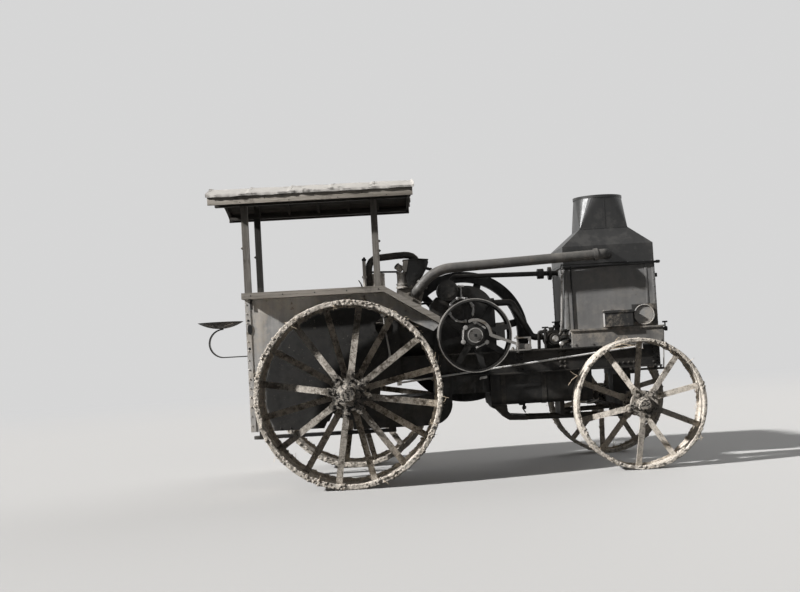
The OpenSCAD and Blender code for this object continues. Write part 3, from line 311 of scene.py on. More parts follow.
class Recipe(Graph):
    """A Geometry Nodes tree with named inputs, which ends in plain faces of one finish."""

    KINDS = {float: "NodeSocketFloat", int: "NodeSocketInt"}

    def __init__(self, name: str, **inputs: float | int) -> None:
        """Start a tree.

        Args:
            name: Name of the tree.
            inputs: Named sizes and counts with their first values.
        """
        super().__init__(bpy.data.node_groups.new(name, "GeometryNodeTree"))
        face = self.tree.interface
        face.new_socket("Geometry", in_out="INPUT", socket_type="NodeSocketGeometry")
        for title, value in inputs.items():
            face.new_socket(title, in_out="INPUT", socket_type=self.KINDS[type(value)]).default_value = value
        face.new_socket("Finish", in_out="INPUT", socket_type="NodeSocketMaterial")
        face.new_socket("Geometry", in_out="OUTPUT", socket_type="NodeSocketGeometry")
        self.start = self.tree.nodes.new("NodeGroupInput")

    def given(self, title: str) -> Socket:
        """Give one of the tree's inputs."""
        return Socket(self, self.start.outputs[title])

    def vector(self, x: Value, y: Value, z: Value) -> Socket:
        """Join three values into a vector."""
        return self.add("ShaderNodeCombineXYZ", {}, {"X": x, "Y": y, "Z": z})

    def chance(self, low: float, high: float, shift: int = 0) -> Socket:
        """Draw a number for each point, with a seed that is the tree's own plus a shift."""
        seed = self.given("Seed") + shift if shift else self.given("Seed")
        return self.add("FunctionNodeRandomValue", {"data_type": "FLOAT"}, {"Min": low, "Max": high, "Seed": seed})

    def named(self, title: str, kind: str = "FLOAT") -> Socket:
        """Read an attribute of the geometry."""
        return self.add("GeometryNodeInputNamedAttribute", {"data_type": kind}, {"Name": title})

    def scattered(self, *shares: Socket) -> Socket:
        """Scatter points over the geometry's faces, as densely as the Density input times the shares."""
        density = self.given("Density")
        for share in shares:
            density = density * share
        return self.add("GeometryNodeDistributePointsOnFaces", {}, {
            "Mesh": self.given("Geometry"), "Density": density, "Seed": self.given("Seed")})

    def spun(self, turn: Socket) -> Socket:
        """Spin a rotation about its own Z axis by chance."""
        spin = self.add("FunctionNodeAxisAngleToRotation", {}, {
            "Axis": (0.0, 0.0, 1.0), "Angle": self.chance(0.0, 6.28)})
        return self.add("FunctionNodeRotateRotation", {"rotation_space": "LOCAL"}, {
            "Rotation": turn, "Rotate By": spin})

    def planted(self, points: Socket, shape: Socket, turn: Socket, scale: Socket, **values: Socket) -> Socket:
        """Set a shape on each point."""
        return self.add("GeometryNodeInstanceOnPoints", {}, {
            "Points": points, "Instance": shape, "Rotation": turn, "Scale": scale, **values})

    def close(self, geometry: Socket) -> None:
        """End the tree: instances become faces, and the faces get their finish."""
        whole = self.add("GeometryNodeRealizeInstances", {}, {"Geometry": geometry})
        done = self.add("GeometryNodeSetMaterial", {}, {"Geometry": whole, "Material": self.given("Finish")})
        end = self.tree.nodes.new("NodeGroupOutput")
        self.tree.links.new(done.source, end.inputs[0])

    def carry_out(self, base: bpy.types.Object, name: str, **values: object) -> bpy.types.Object:
        """Run the tree on an object and keep the result as a plain piece.

        Args:
            base: Object that the tree starts from, which is then removed.
            name: Name of the piece.
            values: Values of the tree's named inputs.

        Returns:
            The piece, with no modifier.
        """
        modifier = base.modifiers.new(name, "NODES")
        modifier.node_group = self.tree
        for item in self.tree.interface.items_tree:
            if item.in_out == "INPUT" and item.name in values:
                modifier[item.identifier] = values[item.name]
        graph = bpy.context.evaluated_depsgraph_get()
        mesh = bpy.data.meshes.new_from_object(base.evaluated_get(graph), depsgraph=graph)
        mesh.name = name
        base.modifiers.remove(modifier)
        bpy.data.objects.remove(base)
        return linked(name, mesh)


def linked(name: str, mesh: bpy.types.Mesh) -> bpy.types.Object:
    """Put a mesh in the scene as an object at the origin."""
    piece = bpy.data.objects.new(name, mesh)
    bpy.context.scene.collection.objects.link(piece)
    return piece


def skinned(name: str, points: Sequence[Vector], faces: Sequence[Sequence[int]]) -> bpy.types.Mesh:
    """Make a smooth mesh whose faces point outwards."""
    mesh = bpy.data.meshes.new(name)
    mesh.from_pydata(points, [], faces)
    form = bmesh.new()
    form.from_mesh(mesh)
    bmesh.ops.recalc_face_normals(form, faces=form.faces[:])
    form.to_mesh(mesh)
    form.free()
    mesh.shade_smooth()
    return mesh


def heads_recipe(name: str, sides: int, share: float, stud: float) -> Recipe:
    """Make the tree that sets a rivet or bolt head on each point.

    Args:
        name: Name of the tree.
        sides: Sides of the head; a rivet has more than eight and is domed.
        share: Height of the head as a share of its size.
        stud: Height of the stud's end as a share of the size, 0 for none.

    Returns:
        The tree, whose points say with their "out" attribute which way they face.
    """
    r = Recipe(name, Size=0.02, Seed=1)
    size = r.given("Size")
    if sides > 8:
        head = r.add("GeometryNodeMeshUVSphere", {}, {"Segments": sides, "Rings": 6, "Radius": size * 0.5})
        head = r.add("GeometryNodeTransform", {}, {"Geometry": head, "Scale": (1.0, 1.0, share * 2)})
        head = r.add("GeometryNodeSetShadeSmooth", {}, {"Geometry": head})
    else:
        head = r.add("GeometryNodeMeshCylinder", {}, {
            "Vertices": sides, "Radius": size * 0.54, "Depth": size * share * 2})
    if stud:
        end = r.add("GeometryNodeMeshCylinder", {}, {"Vertices": 8, "Radius": size * 0.27, "Depth": size * stud * 2})
        head = r.join(head, end)
    turn = r.add("FunctionNodeAlignRotationToVector", {"axis": "Z"}, {"Vector": r.named("out", "FLOAT_VECTOR")})
    grow = r.chance(0.92, 1.08, 7)
    r.close(r.planted(r.given("Geometry"), head, r.spun(turn), r.vector(grow, grow, grow)))
    return r


def clods_recipe(few: float = 0.72) -> Recipe:
    """Make the tree that sticks lumps of dried mud on a surface.

    Args:
        few: Share of the lumps, the smallest, that get few faces.

    Returns:
        The tree; the surface's "crust" attribute says how thickly they sit, from 0 to 1.
    """
    r = Recipe("mud_clods", Density=1500.0, Smallest=0.004, Largest=0.02, Seed=1)
    place = r.add("GeometryNodeInputPosition")
    patch = r.add("ShaderNodeTexNoise", {}, {"Vector": place, "Scale": 9.0, "Detail": 3.0}).rise(0.42, 0.62)
    points = r.scattered(r.named("crust"), patch * 1.7 + 0.15)
    chance = r.chance(0.0, 1.0, 3)
    size = r.given("Smallest") + (r.given("Largest") - r.given("Smallest")) * chance ** 3.0
    shape = r.vector(size * r.chance(0.7, 1.6, 5), size, size * 0.55)
    lumps = []
    for chosen, fineness in ((few - chance, 1), (chance - few, 2)):
        lump = r.add("GeometryNodeMeshIcoSphere", {}, {"Radius": 1.0, "Subdivisions": fineness})
        lumps.append(r.planted(points, lump, points.part("Rotation"), shape, Selection=chosen))
    whole = r.add("GeometryNodeRealizeInstances", {}, {"Geometry": r.join(*lumps)})
    rough = r.add("ShaderNodeTexNoise", {}, {"Vector": place, "Scale": 85.0, "Detail": 3.0, "Roughness": 0.7},
                  output="Color")
    push = r.add("ShaderNodeVectorMath", {"operation": "SUBTRACT"}, {0: rough, 1: (0.5, 0.5, 0.5)})
    push = r.add("ShaderNodeVectorMath", {"operation": "SCALE"}, {0: push, "Scale": r.given("Largest") * 0.75})
    moved = r.add("GeometryNodeSetPosition", {}, {"Geometry": whole, "Offset": push})
    r.close(r.add("GeometryNodeSetShadeSmooth", {}, {"Geometry": moved}))
    return r


def straws_recipe() -> Recipe:
    """Make the tree that leaves bent straws in the mud of a surface."""
    r = Recipe("straws", Density=30.0, Length=0.06, Seed=1)
    points = r.scattered(r.named("crust"))
    length = r.given("Length")
    line = r.add("GeometryNodeCurveQuadraticBezier", {}, {
        "Resolution": 6, "Start": (0.0, 0.0, -0.002), "Middle": r.vector(length * 0.3, length * 0.1, length * 0.45),
        "End": r.vector(length * 0.9, length * 0.3, length * 0.55)})
    round_end = r.add("GeometryNodeCurvePrimitiveCircle", {}, {"Resolution": 4, "Radius": 0.0012})
    stem = r.add("GeometryNodeCurveToMesh", {}, {"Curve": line, "Profile Curve": round_end, "Fill Caps": True})
    grow = r.chance(0.4, 1.3, 2)
    r.close(r.planted(points, stem, r.spun(points.part("Rotation")), r.vector(grow, grow, grow)))
    return r


@dataclass(frozen=True)
class Finish:
    """Look of one kind of surface, for pieces of one material slot."""

    name: str
    slot: str

    def material(self) -> bpy.types.Material:
        """Build the material."""
        raise NotImplementedError


@dataclass(frozen=True)
class OldPaint(Finish):
    """Paint on sheet iron that has faded, streaked and rusted outdoors."""

    paint: Colour
    faded: Colour
    rust: Colour = grey(0.30, 0.22)
    dust: Colour = grey(0.66, 0.08)
    rusting: float = 0.5
    dusting: float = 0.4
    roughness: float = 0.6
    waviness: float = 0.004
    # Radius about a line across the tractor within which the paint darkens; on the cab's sides this darkening is
    # painted shade of the rear wheel, mixed with oily dirt.
    dirt_and_shade_r: float = 0.0
    dirt_and_shade_at: tuple[float, float] = REAR_AXLE
    dirt_and_shade_tone: Colour = grey(0.14, 0.04)
    shine: float = 0.22

    def material(self) -> bpy.types.Material:
        """Build the material."""
        s = Shade(self.name)
        height = s.axis(s.place, "Z")
        wide = s.cloud(1.7, 5, 0.6)
        fine = s.cloud(24, 6, 0.65)
        streaks = s.cloud(1.0, 5, 0.6, s.stretched(16, 16, 1.1))
        fade = (wide * 0.9 + streaks * 0.7 + fine * 0.25 - 0.42).rise(0.2, 0.8)
        colour = s.mix(fade, self.paint, self.faded)
        colour = s.mix((s.cloud(5.2, 7, 0.7) + fine * 0.2).rise(0.56, 0.72) * 0.4, colour, self.dust)
        spots = s.cloud(9, 9, 0.72)
        rusted = (spots + s.cloud(2.3, 3) * 0.35 - 0.17).rise(0.68 - 0.16 * self.rusting, 0.74 - 0.12 * self.rusting)
        run = (s.cloud(1.0, 4, 0.6, s.stretched(38, 38, 1.6))).rise(0.60, 0.74) * 0.55 * self.rusting
        chips = (s.cells(46) + s.cloud(60, 3) * 0.5).rise(0.34, 0.27) * s.cloud(3.1, 3).rise(0.45, 0.62)
        stained = rusted | run | chips * self.rusting
        colour = s.mix(stained * 0.7, colour, s.mix(fine, self.rust, grey(0.20, 0.16)))
        up = s.axis(s.facing, "Z")
        dusty = (up.rise(0.2, 0.9) * 0.9 + height.rise(1.1, 0.3) * 0.45 + s.cloud(3.4, 6, 0.7) * 0.35 - 0.12)
        dusty = dusty.rise(0.1, 0.95) * self.dusting
        colour = s.mix(dusty, colour, self.dust)
        rough = self.roughness + stained * 0.22 + dusty * 0.25 + (fine - 0.5) * 0.18
        # Painted shade mixed with oily dirt: inside the radius the paint darkens, with pale mud splashes laid over it.
        if self.dirt_and_shade_r:
            far = s.from_axis(self.dirt_and_shade_at) + (wide - 0.5) * 0.10 + (s.cloud(14, 5) - 0.5) * 0.05
            dirt_and_shade = far.rise(self.dirt_and_shade_r + 0.015, self.dirt_and_shade_r - 0.03)
            oil = s.mix(s.cloud(12, 7, 0.75).rise(0.4, 0.7), self.dirt_and_shade_tone, grey(0.07, 0.02))
            colour = s.mix(dirt_and_shade * 0.97, colour, oil)
            splash = (s.cells(30) + s.cloud(45, 5) * 0.35).rise(0.27, 0.22) * s.cloud(4.4, 5).rise(0.45, 0.6)
            splash = splash | (s.cells(70) + s.cloud(90, 3) * 0.3).rise(0.25, 0.20) * s.cloud(6.1, 5).rise(0.4, 0.6)
            colour = s.mix(splash * dirt_and_shade * 0.75, colour, grey(0.62, 0.07))
            rough = rough + dirt_and_shade * 0.1
        relief = s.relief(s.cloud(2.6, 3), self.waviness * 4)
        relief = s.relief(fine, 0.0009, 0.6, relief)
        relief = s.relief(1 - stained, 0.0007, 0.8, relief)
        return s.surface(Base_Color=colour, Roughness=rough & 0.97, Normal=relief, Specular_IOR_Level=self.shine)


@dataclass(frozen=True)
class OilyIron(Finish):
    """Cast or rolled iron, black with old oil that has caught dust."""

    iron: Colour = grey(0.11, 0.04)
    grime: Colour = grey(0.19, 0.08)
    dust: Colour = grey(0.46, 0.10)
    dusting: float = 0.4
    oiliness: float = 0.6
    grain: float = 0.0012
    worn: float = 0.2
    rubbed_r: float = 0.0
    rubbed_at: tuple[float, float] = CRANK

    def material(self) -> bpy.types.Material:
        """Build the material."""
        s = Shade(self.name)
        grain = s.cloud(150, 4, 0.6)
        lumps = s.cloud(22, 5, 0.6)
        wide = s.cloud(3.2, 6, 0.62)
        grime = (wide + lumps * 0.45 - 0.22).rise(0.38, 0.72)
        colour = s.mix(grime, self.iron, self.grime)
        up = s.axis(s.facing, "Z")
        settled = up.rise(0.15, 0.85) * (wide * 0.8 + lumps * 0.5).rise(0.42, 0.8)
        splashed = s.cloud(11, 8, 0.75).rise(0.60, 0.74) * s.axis(s.place, "Z").rise(1.5, 0.4)
        dusty = (settled | splashed * 0.8) * self.dusting
        colour = s.mix(dusty, colour, self.dust)
        drips = s.cloud(1.0, 4, 0.6, s.stretched(30, 30, 2.2)).rise(0.50, 0.66)
        oil = (drips | s.cloud(5.5, 4).rise(0.50, 0.60)) * (1 - dusty) * self.oiliness
        colour = s.mix(oil * 0.7, colour, grey(0.06, 0.05))
        scuffed = s.cloud(34, 7, 0.8).rise(0.64, 0.72) * self.worn
        colour = s.mix(scuffed, colour, grey(0.42, 0.06))
        rough = 0.74 - oil * 0.44 + dusty * 0.2 + (grain - 0.5) * 0.2 - scuffed * 0.15
        metal: Value = 0.2
        if self.rubbed_r:
            rub = (s.from_axis(self.rubbed_at) + wide * 0.003).rise(self.rubbed_r, self.rubbed_r + 0.004)
            rub = rub * (1 - lumps.rise(0.5, 0.8) * 0.5)
            colour = s.mix(rub, colour, grey(0.62, 0.03))
            rough = rough - rub * 0.25
            metal = rub * 0.6 + 0.2
        relief = s.relief(grain, self.grain)
        relief = s.relief(lumps, 0.006, 0.5, relief)
        relief = s.relief(dusty, 0.002, 0.7, relief)
        return s.surface(Base_Color=colour, Roughness=rough, Metallic=metal, Normal=relief, Specular_IOR_Level=0.35)


@dataclass(frozen=True)
class DriedMud(Finish):
    """Pale field mud that has dried on iron, with specks of dark earth and bare patches."""

    mud: Colour = grey(0.80, 0.06)
    damp: Colour = grey(0.60, 0.09)
    iron: Colour = grey(0.20, 0.10)
    bare: float = 0.1
    specks: float = 0.6
    oiled_r: float = 0.0
    hub: tuple[float, float] = REAR_AXLE

    def material(self) -> bpy.types.Material:
        """Build the material."""
        s = Shade(self.name)
        lumps = s.cloud(34, 8, 0.68)
        wide = s.cloud(7.5, 6, 0.62)
        grit = s.cloud(210, 5, 0.7)
        cracks = s.cells(42, "DISTANCE_TO_EDGE").rise(0.015, 0.06)
        colour = s.mix((lumps * 0.8 + wide * 0.5 - 0.1).rise(0.35, 0.85), self.mud, self.damp)
        colour = s.mix((grit - 0.1).rise(0.42, 0.62) * 0.35, colour, grey(0.92, 0.04))
        colour = s.mix((1 - cracks) * 0.3, colour, grey(0.34, 0.1))
        speck = (s.cloud(75, 6, 0.75) + lumps * 0.25).rise(0.71, 0.77) * self.specks
        colour = s.mix(speck, colour, grey(0.22, 0.1))
        fine = s.cloud(110, 6, 0.8)
        gone = (wide * 0.7 + lumps * 0.4 + fine * 0.5 - 0.30).rise(0.60 - 0.20 * self.bare, 0.80 - 0.20 * self.bare)
        colour = s.mix(gone * 0.9, colour, s.mix(s.cloud(60, 6, 0.7), self.iron, grey(0.30, 0.14)))
        rough = 0.95 - gone * 0.3
        if self.oiled_r:
            far = s.from_axis(self.hub) + (wide - 0.5) * 0.22 + (lumps - 0.5) * 0.10
            oiled = far.rise(self.oiled_r + 0.05, self.oiled_r - 0.04) * (lumps + fine * 0.4 - 0.2).rise(0.60, 0.42)
            colour = s.mix(oiled, colour, s.mix(lumps.rise(0.4, 0.7), grey(0.10, 0.05), grey(0.26, 0.08)))
            rough = rough - oiled * 0.4
        relief = s.relief(lumps, 0.010)
        relief = s.relief(grit, 0.0024, 0.8, relief)
        relief = s.relief(cracks, 0.003, 0.5, relief)
        return s.surface(Base_Color=colour, Roughness=rough, Normal=relief, Specular_IOR_Level=0.12)


class Grain(Enum):
    """Way that the grain of a board runs, as multipliers of the coordinates."""

    ALONG = (0.9, 26.0, 26.0)
    ACROSS = (26.0, 0.9, 26.0)
    UPRIGHT = (26.0, 26.0, 0.9)


@dataclass(frozen=True)
class OldBoard(Finish):
    """Bare board, silvered and split by the weather.

    Upright boards are dark on the tractor's left; under the roof, inside its edges, boards get painted shade.
    """

    grain: Grain
    wood: Colour = grey(0.70, 0.06)
    dark: Colour = grey(0.40, 0.10)
    paint: Colour = grey(0.34, 0.03)
    painted: float = 0.0
    painted_shade_under_roof: bool = False

    def material(self) -> bpy.types.Material:
        """Build the material."""
        s = Shade(self.name)
        run = s.stretched(*self.grain.value)
        fibre = s.cloud(2.2, 8, 0.7, run, 0.6)
        fine = s.cloud(9.0, 6, 0.75, run)
        wide = s.cloud(2.6, 5)
        colour = s.mix((fibre * 0.8 + fine * 0.45 - 0.1).rise(0.3, 0.75), self.wood, self.dark)
        colour = s.mix(wide.rise(0.45, 0.75) * 0.4, colour, grey(0.52, 0.04))
        stains = (s.cloud(4.1, 8, 0.72) + fibre * 0.3).rise(0.68, 0.80)
        colour = s.mix(stains * 0.6, colour, grey(0.26, 0.08))
        splits = fine.rise(0.62, 0.72) * wide.rise(0.4, 0.6)
        colour = s.mix(splits * 0.8, colour, grey(0.14, 0.1))
        kept = (s.cloud(6, 8, 0.7) + fibre * 0.4).rise(0.86 - 0.5 * self.painted, 0.60 - 0.5 * self.painted)
        colour = s.mix(kept * min(1.0, self.painted * 2), colour, self.paint)
        if self.grain is Grain.UPRIGHT:
            left = s.axis(s.place, "Y").rise(0.0, 0.1)
            colour = s.mix(left * 0.9, colour, s.mix(fibre, grey(0.17, 0.04), grey(0.10, 0.03)))
        # Painted shade: boards inside the roof's edges, under the roof, are darkened.
        if self.painted_shade_under_roof:
            away = abs(s.axis(s.place, "X") - ROOF_X), abs(s.axis(s.place, "Y"))
            along, across = [way.rise(half + 0.002, half - 0.002) for way, half in zip(away, ROOF_INNER)]
            colour = s.mix(across * along * 0.92, colour, s.mix(fibre, grey(0.16, 0.05), grey(0.09, 0.04)))
        relief = s.relief(fibre, 0.004)
        relief = s.relief(fine, 0.0014, 0.9, relief)
        return s.surface(Base_Color=colour, Roughness=0.86 - fine * 0.1, Normal=relief, Specular_IOR_Level=0.15)


@dataclass(frozen=True)
class RubbedSteel(Finish):
    """Bare steel that rubbing keeps bright between patches of brown."""

    steel: Colour = grey(0.62, 0.03)
    brown: Colour = grey(0.30, 0.14)
    browning: float = 0.5
    metal: float = 0.6

    def material(self) -> bpy.types.Material:
        """Build the material."""
        s = Shade(self.name)
        scratches = s.cloud(1.0, 6, 0.7, s.stretched(14, 220, 220))
        patches = (s.cloud(13, 7, 0.7) + s.cloud(3.1, 3) * 0.3 - 0.15)
        brown = patches.rise(0.60 - 0.22 * self.browning, 0.70 - 0.16 * self.browning)
        colour = s.mix(scratches.rise(0.35, 0.7) * 0.5, self.steel, grey(0.40, 0.04))
        colour = s.mix(brown, colour, self.brown)
        relief = s.relief(scratches, 0.0006, 0.6)
        relief = s.relief(brown, 0.0005, 0.8, relief)
        return s.surface(Base_Color=colour, Roughness=0.36 + brown * 0.42 + scratches * 0.1,
                         Metallic=self.metal - brown * self.metal * 0.7, Normal=relief)


@dataclass(frozen=True)
class RoofFelt(Finish):
    """Tarred felt, chalked pale by the sun and dark where it has torn or stays damp."""

    felt: Colour = grey(0.74, 0.03)
    tar: Colour = grey(0.24, 0.05)

    def material(self) -> bpy.types.Material:
        """Build the material."""
        s = Shade(self.name)
        wide = s.cloud(3.0, 7, 0.65)
        grit = s.cloud(260, 3, 0.7)
        worn = (wide + s.cloud(14, 8, 0.7) * 0.6 - 0.3).rise(0.56, 0.68)
        # Downward faces take the tar colour: the felt's tarred underside, darkened also as painted shade under its
        # edges.
        under = s.axis(s.facing, "Z").rise(0.1, -0.3)
        colour = s.mix((worn * 0.7) | under, s.mix(grit, self.felt, grey(0.58, 0.03)), self.tar)
        relief = s.relief(s.cloud(7, 6, 0.6), 0.012, 0.7)
        relief = s.relief(grit, 0.0012, 1.0, relief)
        return s.surface(Base_Color=colour, Roughness=0.92, Normal=relief, Specular_IOR_Level=0.15)


FINISHES = [
    # The cab's sides darken within the rear wheel's radius: painted shade of the wheel, mixed with oily dirt.
    OldPaint("cab_paint", "sheet_paint", grey(0.52, 0.0), grey(0.70, 0.02), rusting=0.5, dusting=0.30, dirt_and_shade_r=0.80),
    OldPaint("tower_paint", "tower_paint", grey(0.42, 0.01), grey(0.48, 0.01), rusting=0.12, dusting=0.12,
             dust=grey(0.52, 0.04)),
    OldPaint("box_paint", "tower_paint", grey(0.17, 0.01), grey(0.26, 0.02), rusting=0.3, dusting=0.15, waviness=0.001),
    OldPaint("cowl_paint", "tower_paint", grey(0.11, 0.01), grey(0.15, 0.02), rusting=0.12, dusting=0.03,
             roughness=0.40, shine=0.5, dust=grey(0.28, 0.03), waviness=0.0008),
    OldPaint("pan_paint", "tower_paint", grey(0.36, 0.02), grey(0.48, 0.03), rusting=0.6, dusting=0.3),
    OldPaint("pale_plate", "tower_paint", grey(0.54, 0.01), grey(0.64, 0.02), rusting=0.5, dusting=0.3,
             waviness=0.0),
    OldPaint("pipe_scale", "pipe_iron", grey(0.25, 0.03), grey(0.34, 0.03), rusting=0.5, dusting=0.15,
             roughness=0.5, waviness=0.0003, dust=grey(0.45, 0.05), dirt_and_shade_r=0.09, dirt_and_shade_at=ELBOW, shine=0.35),
    OilyIron("frame_iron", "frame_paint", dusting=0.25, oiliness=0.4),
    OilyIron("engine_iron", "oily_iron", grey(0.12, 0.03), grey(0.21, 0.08), dusting=0.4, oiliness=0.8),
    OilyIron("dusty_iron", "oily_iron", grey(0.16, 0.04), grey(0.27, 0.08), dusting=0.6, oiliness=0.3),
    OilyIron("pale_scale", "pipe_iron", grey(0.64, 0.03), grey(0.74, 0.05), dust=grey(0.74, 0.06), dusting=0.4,
             oiliness=0.1),
    OilyIron("warm_iron", "pipe_iron", grey(0.40, 0.05), grey(0.54, 0.06), dust=grey(0.56, 0.06), dusting=0.6,
             oiliness=0.3),
    OilyIron("pulley_iron", "oily_iron", grey(0.12, 0.03), grey(0.20, 0.06), dusting=0.2, oiliness=0.5,
             rubbed_r=0.318),
    OilyIron("flywheel_iron", "oily_iron", grey(0.08, 0.03), grey(0.12, 0.05), dusting=0.1, oiliness=0.5, worn=0.1),
    OilyIron("soot", "oily_iron", grey(0.05, 0.02), grey(0.08, 0.04), dusting=0.0, oiliness=0.2, worn=0.0),
    DriedMud("rim_mud", "muddy_iron", mud=grey(0.84, 0.05), damp=grey(0.60, 0.07), bare=0.3, specks=0.9),
    DriedMud("clod_mud", "muddy_iron", mud=grey(0.76, 0.05), damp=grey(0.48, 0.09), bare=0.0, specks=0.5),
    DriedMud("rear_spoke_mud", "muddy_iron", mud=grey(0.74, 0.05), damp=grey(0.50, 0.07), iron=grey(0.13, 0.08),
             bare=0.85, specks=0.6, oiled_r=0.19),
    DriedMud("front_spoke_mud", "muddy_iron", mud=grey(0.80, 0.05), damp=grey(0.54, 0.07), iron=grey(0.15, 0.08),
             bare=0.45, specks=0.6, oiled_r=0.12, hub=FRONT_AXLE),
    OldBoard("straw", "muddy_iron", Grain.ALONG, grey(0.86, 0.1), grey(0.66, 0.14)),
    OldBoard("sill_board", "sill_wood", Grain.ALONG, grey(0.57, 0.04), grey(0.38, 0.07)),
    OldBoard("post_board", "sill_wood", Grain.UPRIGHT, grey(0.50, 0.04), grey(0.32, 0.07), painted=0.3),
    OldBoard("roof_board", "roof_wood", Grain.ALONG, grey(0.72, 0.05), grey(0.52, 0.08), painted_shade_under_roof=True),
    RubbedSteel("bare_steel", "bright_steel", grey(0.50, 0.03), browning=0.5),
    RubbedSteel("oiled_steel", "bright_steel", grey(0.36, 0.03), grey(0.18, 0.1), browning=0.6),
    RubbedSteel("white_metal", "bright_steel", grey(0.84, 0.01), browning=0.1, metal=0.1),
    RubbedSteel("bright_edge", "bright_steel", grey(0.64, 0.02), browning=0.3, metal=0.4),
    RoofFelt("roof_felt", "roofing"),
]


class Shop:
    """Finishes, and the recipes for rivets, clods and straws, each made once."""

    def __init__(self, kinds: Sequence[Finish]) -> None:
        """Build the materials of all finishes, and the trees."""
        self.made = {kind.name: kind.material() for kind in kinds}
        self.slots = {kind.name: kind.slot for kind in kinds}
        self.heads = {Head.RIVET: heads_recipe("rivet_heads", 10, 0.42, 0.0),
                      Head.BOLT: heads_recipe("bolt_heads", 6, 0.36, 0.0),
                      Head.NUT: heads_recipe("nuts_on_studs", 6, 0.42, 0.72)}
        self.clods = clods_recipe()
        self.straws = straws_recipe()

    def dress(self, node: str, name: str) -> None:
        """Give a CAD node a finish."""
        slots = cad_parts[node].material_slots
        if not slots:
            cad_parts[node].data.materials.append(self.made[name])
        for slot in slots:
            slot.link = "OBJECT"
            slot.material = self.made[name]

    def settle(self, piece: bpy.types.Object, finish: str, body: str, *nodes: str) -> bpy.types.Object:
        """Mount a finished piece on its body.

        Args:
            piece: The piece, at the origin.
            finish: Name of its finish.
            body: Body that it moves with.
            nodes: CAD nodes that it stands for.

        Returns:
            The piece.
        """
        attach(piece, body)
        if nodes:
            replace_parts(piece, *nodes)
        log.info("%s: %d faces, %s, on %s", piece.name, len(piece.data.polygons), finish, body)
        return piece


class Head(Enum):
    """Kind of fastener."""

    RIVET = "rivet"
    BOLT = "bolt"
    NUT = "nut"


@dataclass
class Fasteners:
    """Equal rivets, bolts or nuts that make one piece."""

    name: str
    head: Head
    size: float
    finish: str
    body: str = "chassis"
    spots: list[tuple[Vector, Vector]] = field(default_factory=list)

    def at(self, place: Sequence[float], out: Sequence[float]) -> None:
        """Set one at a place, facing out."""
        self.spots.append((Vector(place), Vector(out)))

    def row(self, start: Sequence[float], end: Sequence[float], pitch: float, out: Sequence[float]) -> None:
        """Set a row from start to end."""
        start, end = Vector(start), Vector(end)
        count = max(1, round((end - start).length / pitch))
        for i in range(count + 1):
            self.at(start.lerp(end, i / count), out)

    def circle(self, centre: Sequence[float], radius: float, count: int, out: Sequence[float],
               start: float = 0.0) -> None:
        """Set a ring of them in a plane across X, Y or Z.

        Args:
            centre: Middle of the ring.
            radius: Radius of the ring.
            count: How many.
            out: Way that they face, along an axis.
            start: Angle of the first, in degrees.
        """
        out = Vector(out)
        turn = Vector((0, 0, 1)).rotation_difference(out)
        for i in range(count):
            angle = math.radians(start) + 2 * math.pi * i / count
            self.at(Vector(centre) + turn @ Vector((math.cos(angle) * radius, math.sin(angle) * radius, 0)), out)

    def build(self, shop: Shop, seed: int = 1) -> bpy.types.Object:
        """Run the recipe on the spots and mount the piece."""
        mesh = bpy.data.meshes.new(self.name + "_spots")
        mesh.from_pydata([place for place, _ in self.spots], [], [])
        out = mesh.attributes.new("out", "FLOAT_VECTOR", "POINT")
        out.data.foreach_set("vector", [value for _, way in self.spots for value in way])
        piece = shop.heads[self.head].carry_out(linked(self.name + "_spots", mesh), self.name, Size=self.size,
                                                Seed=seed, Finish=shop.made[self.finish])
        return shop.settle(piece, self.finish, self.body)


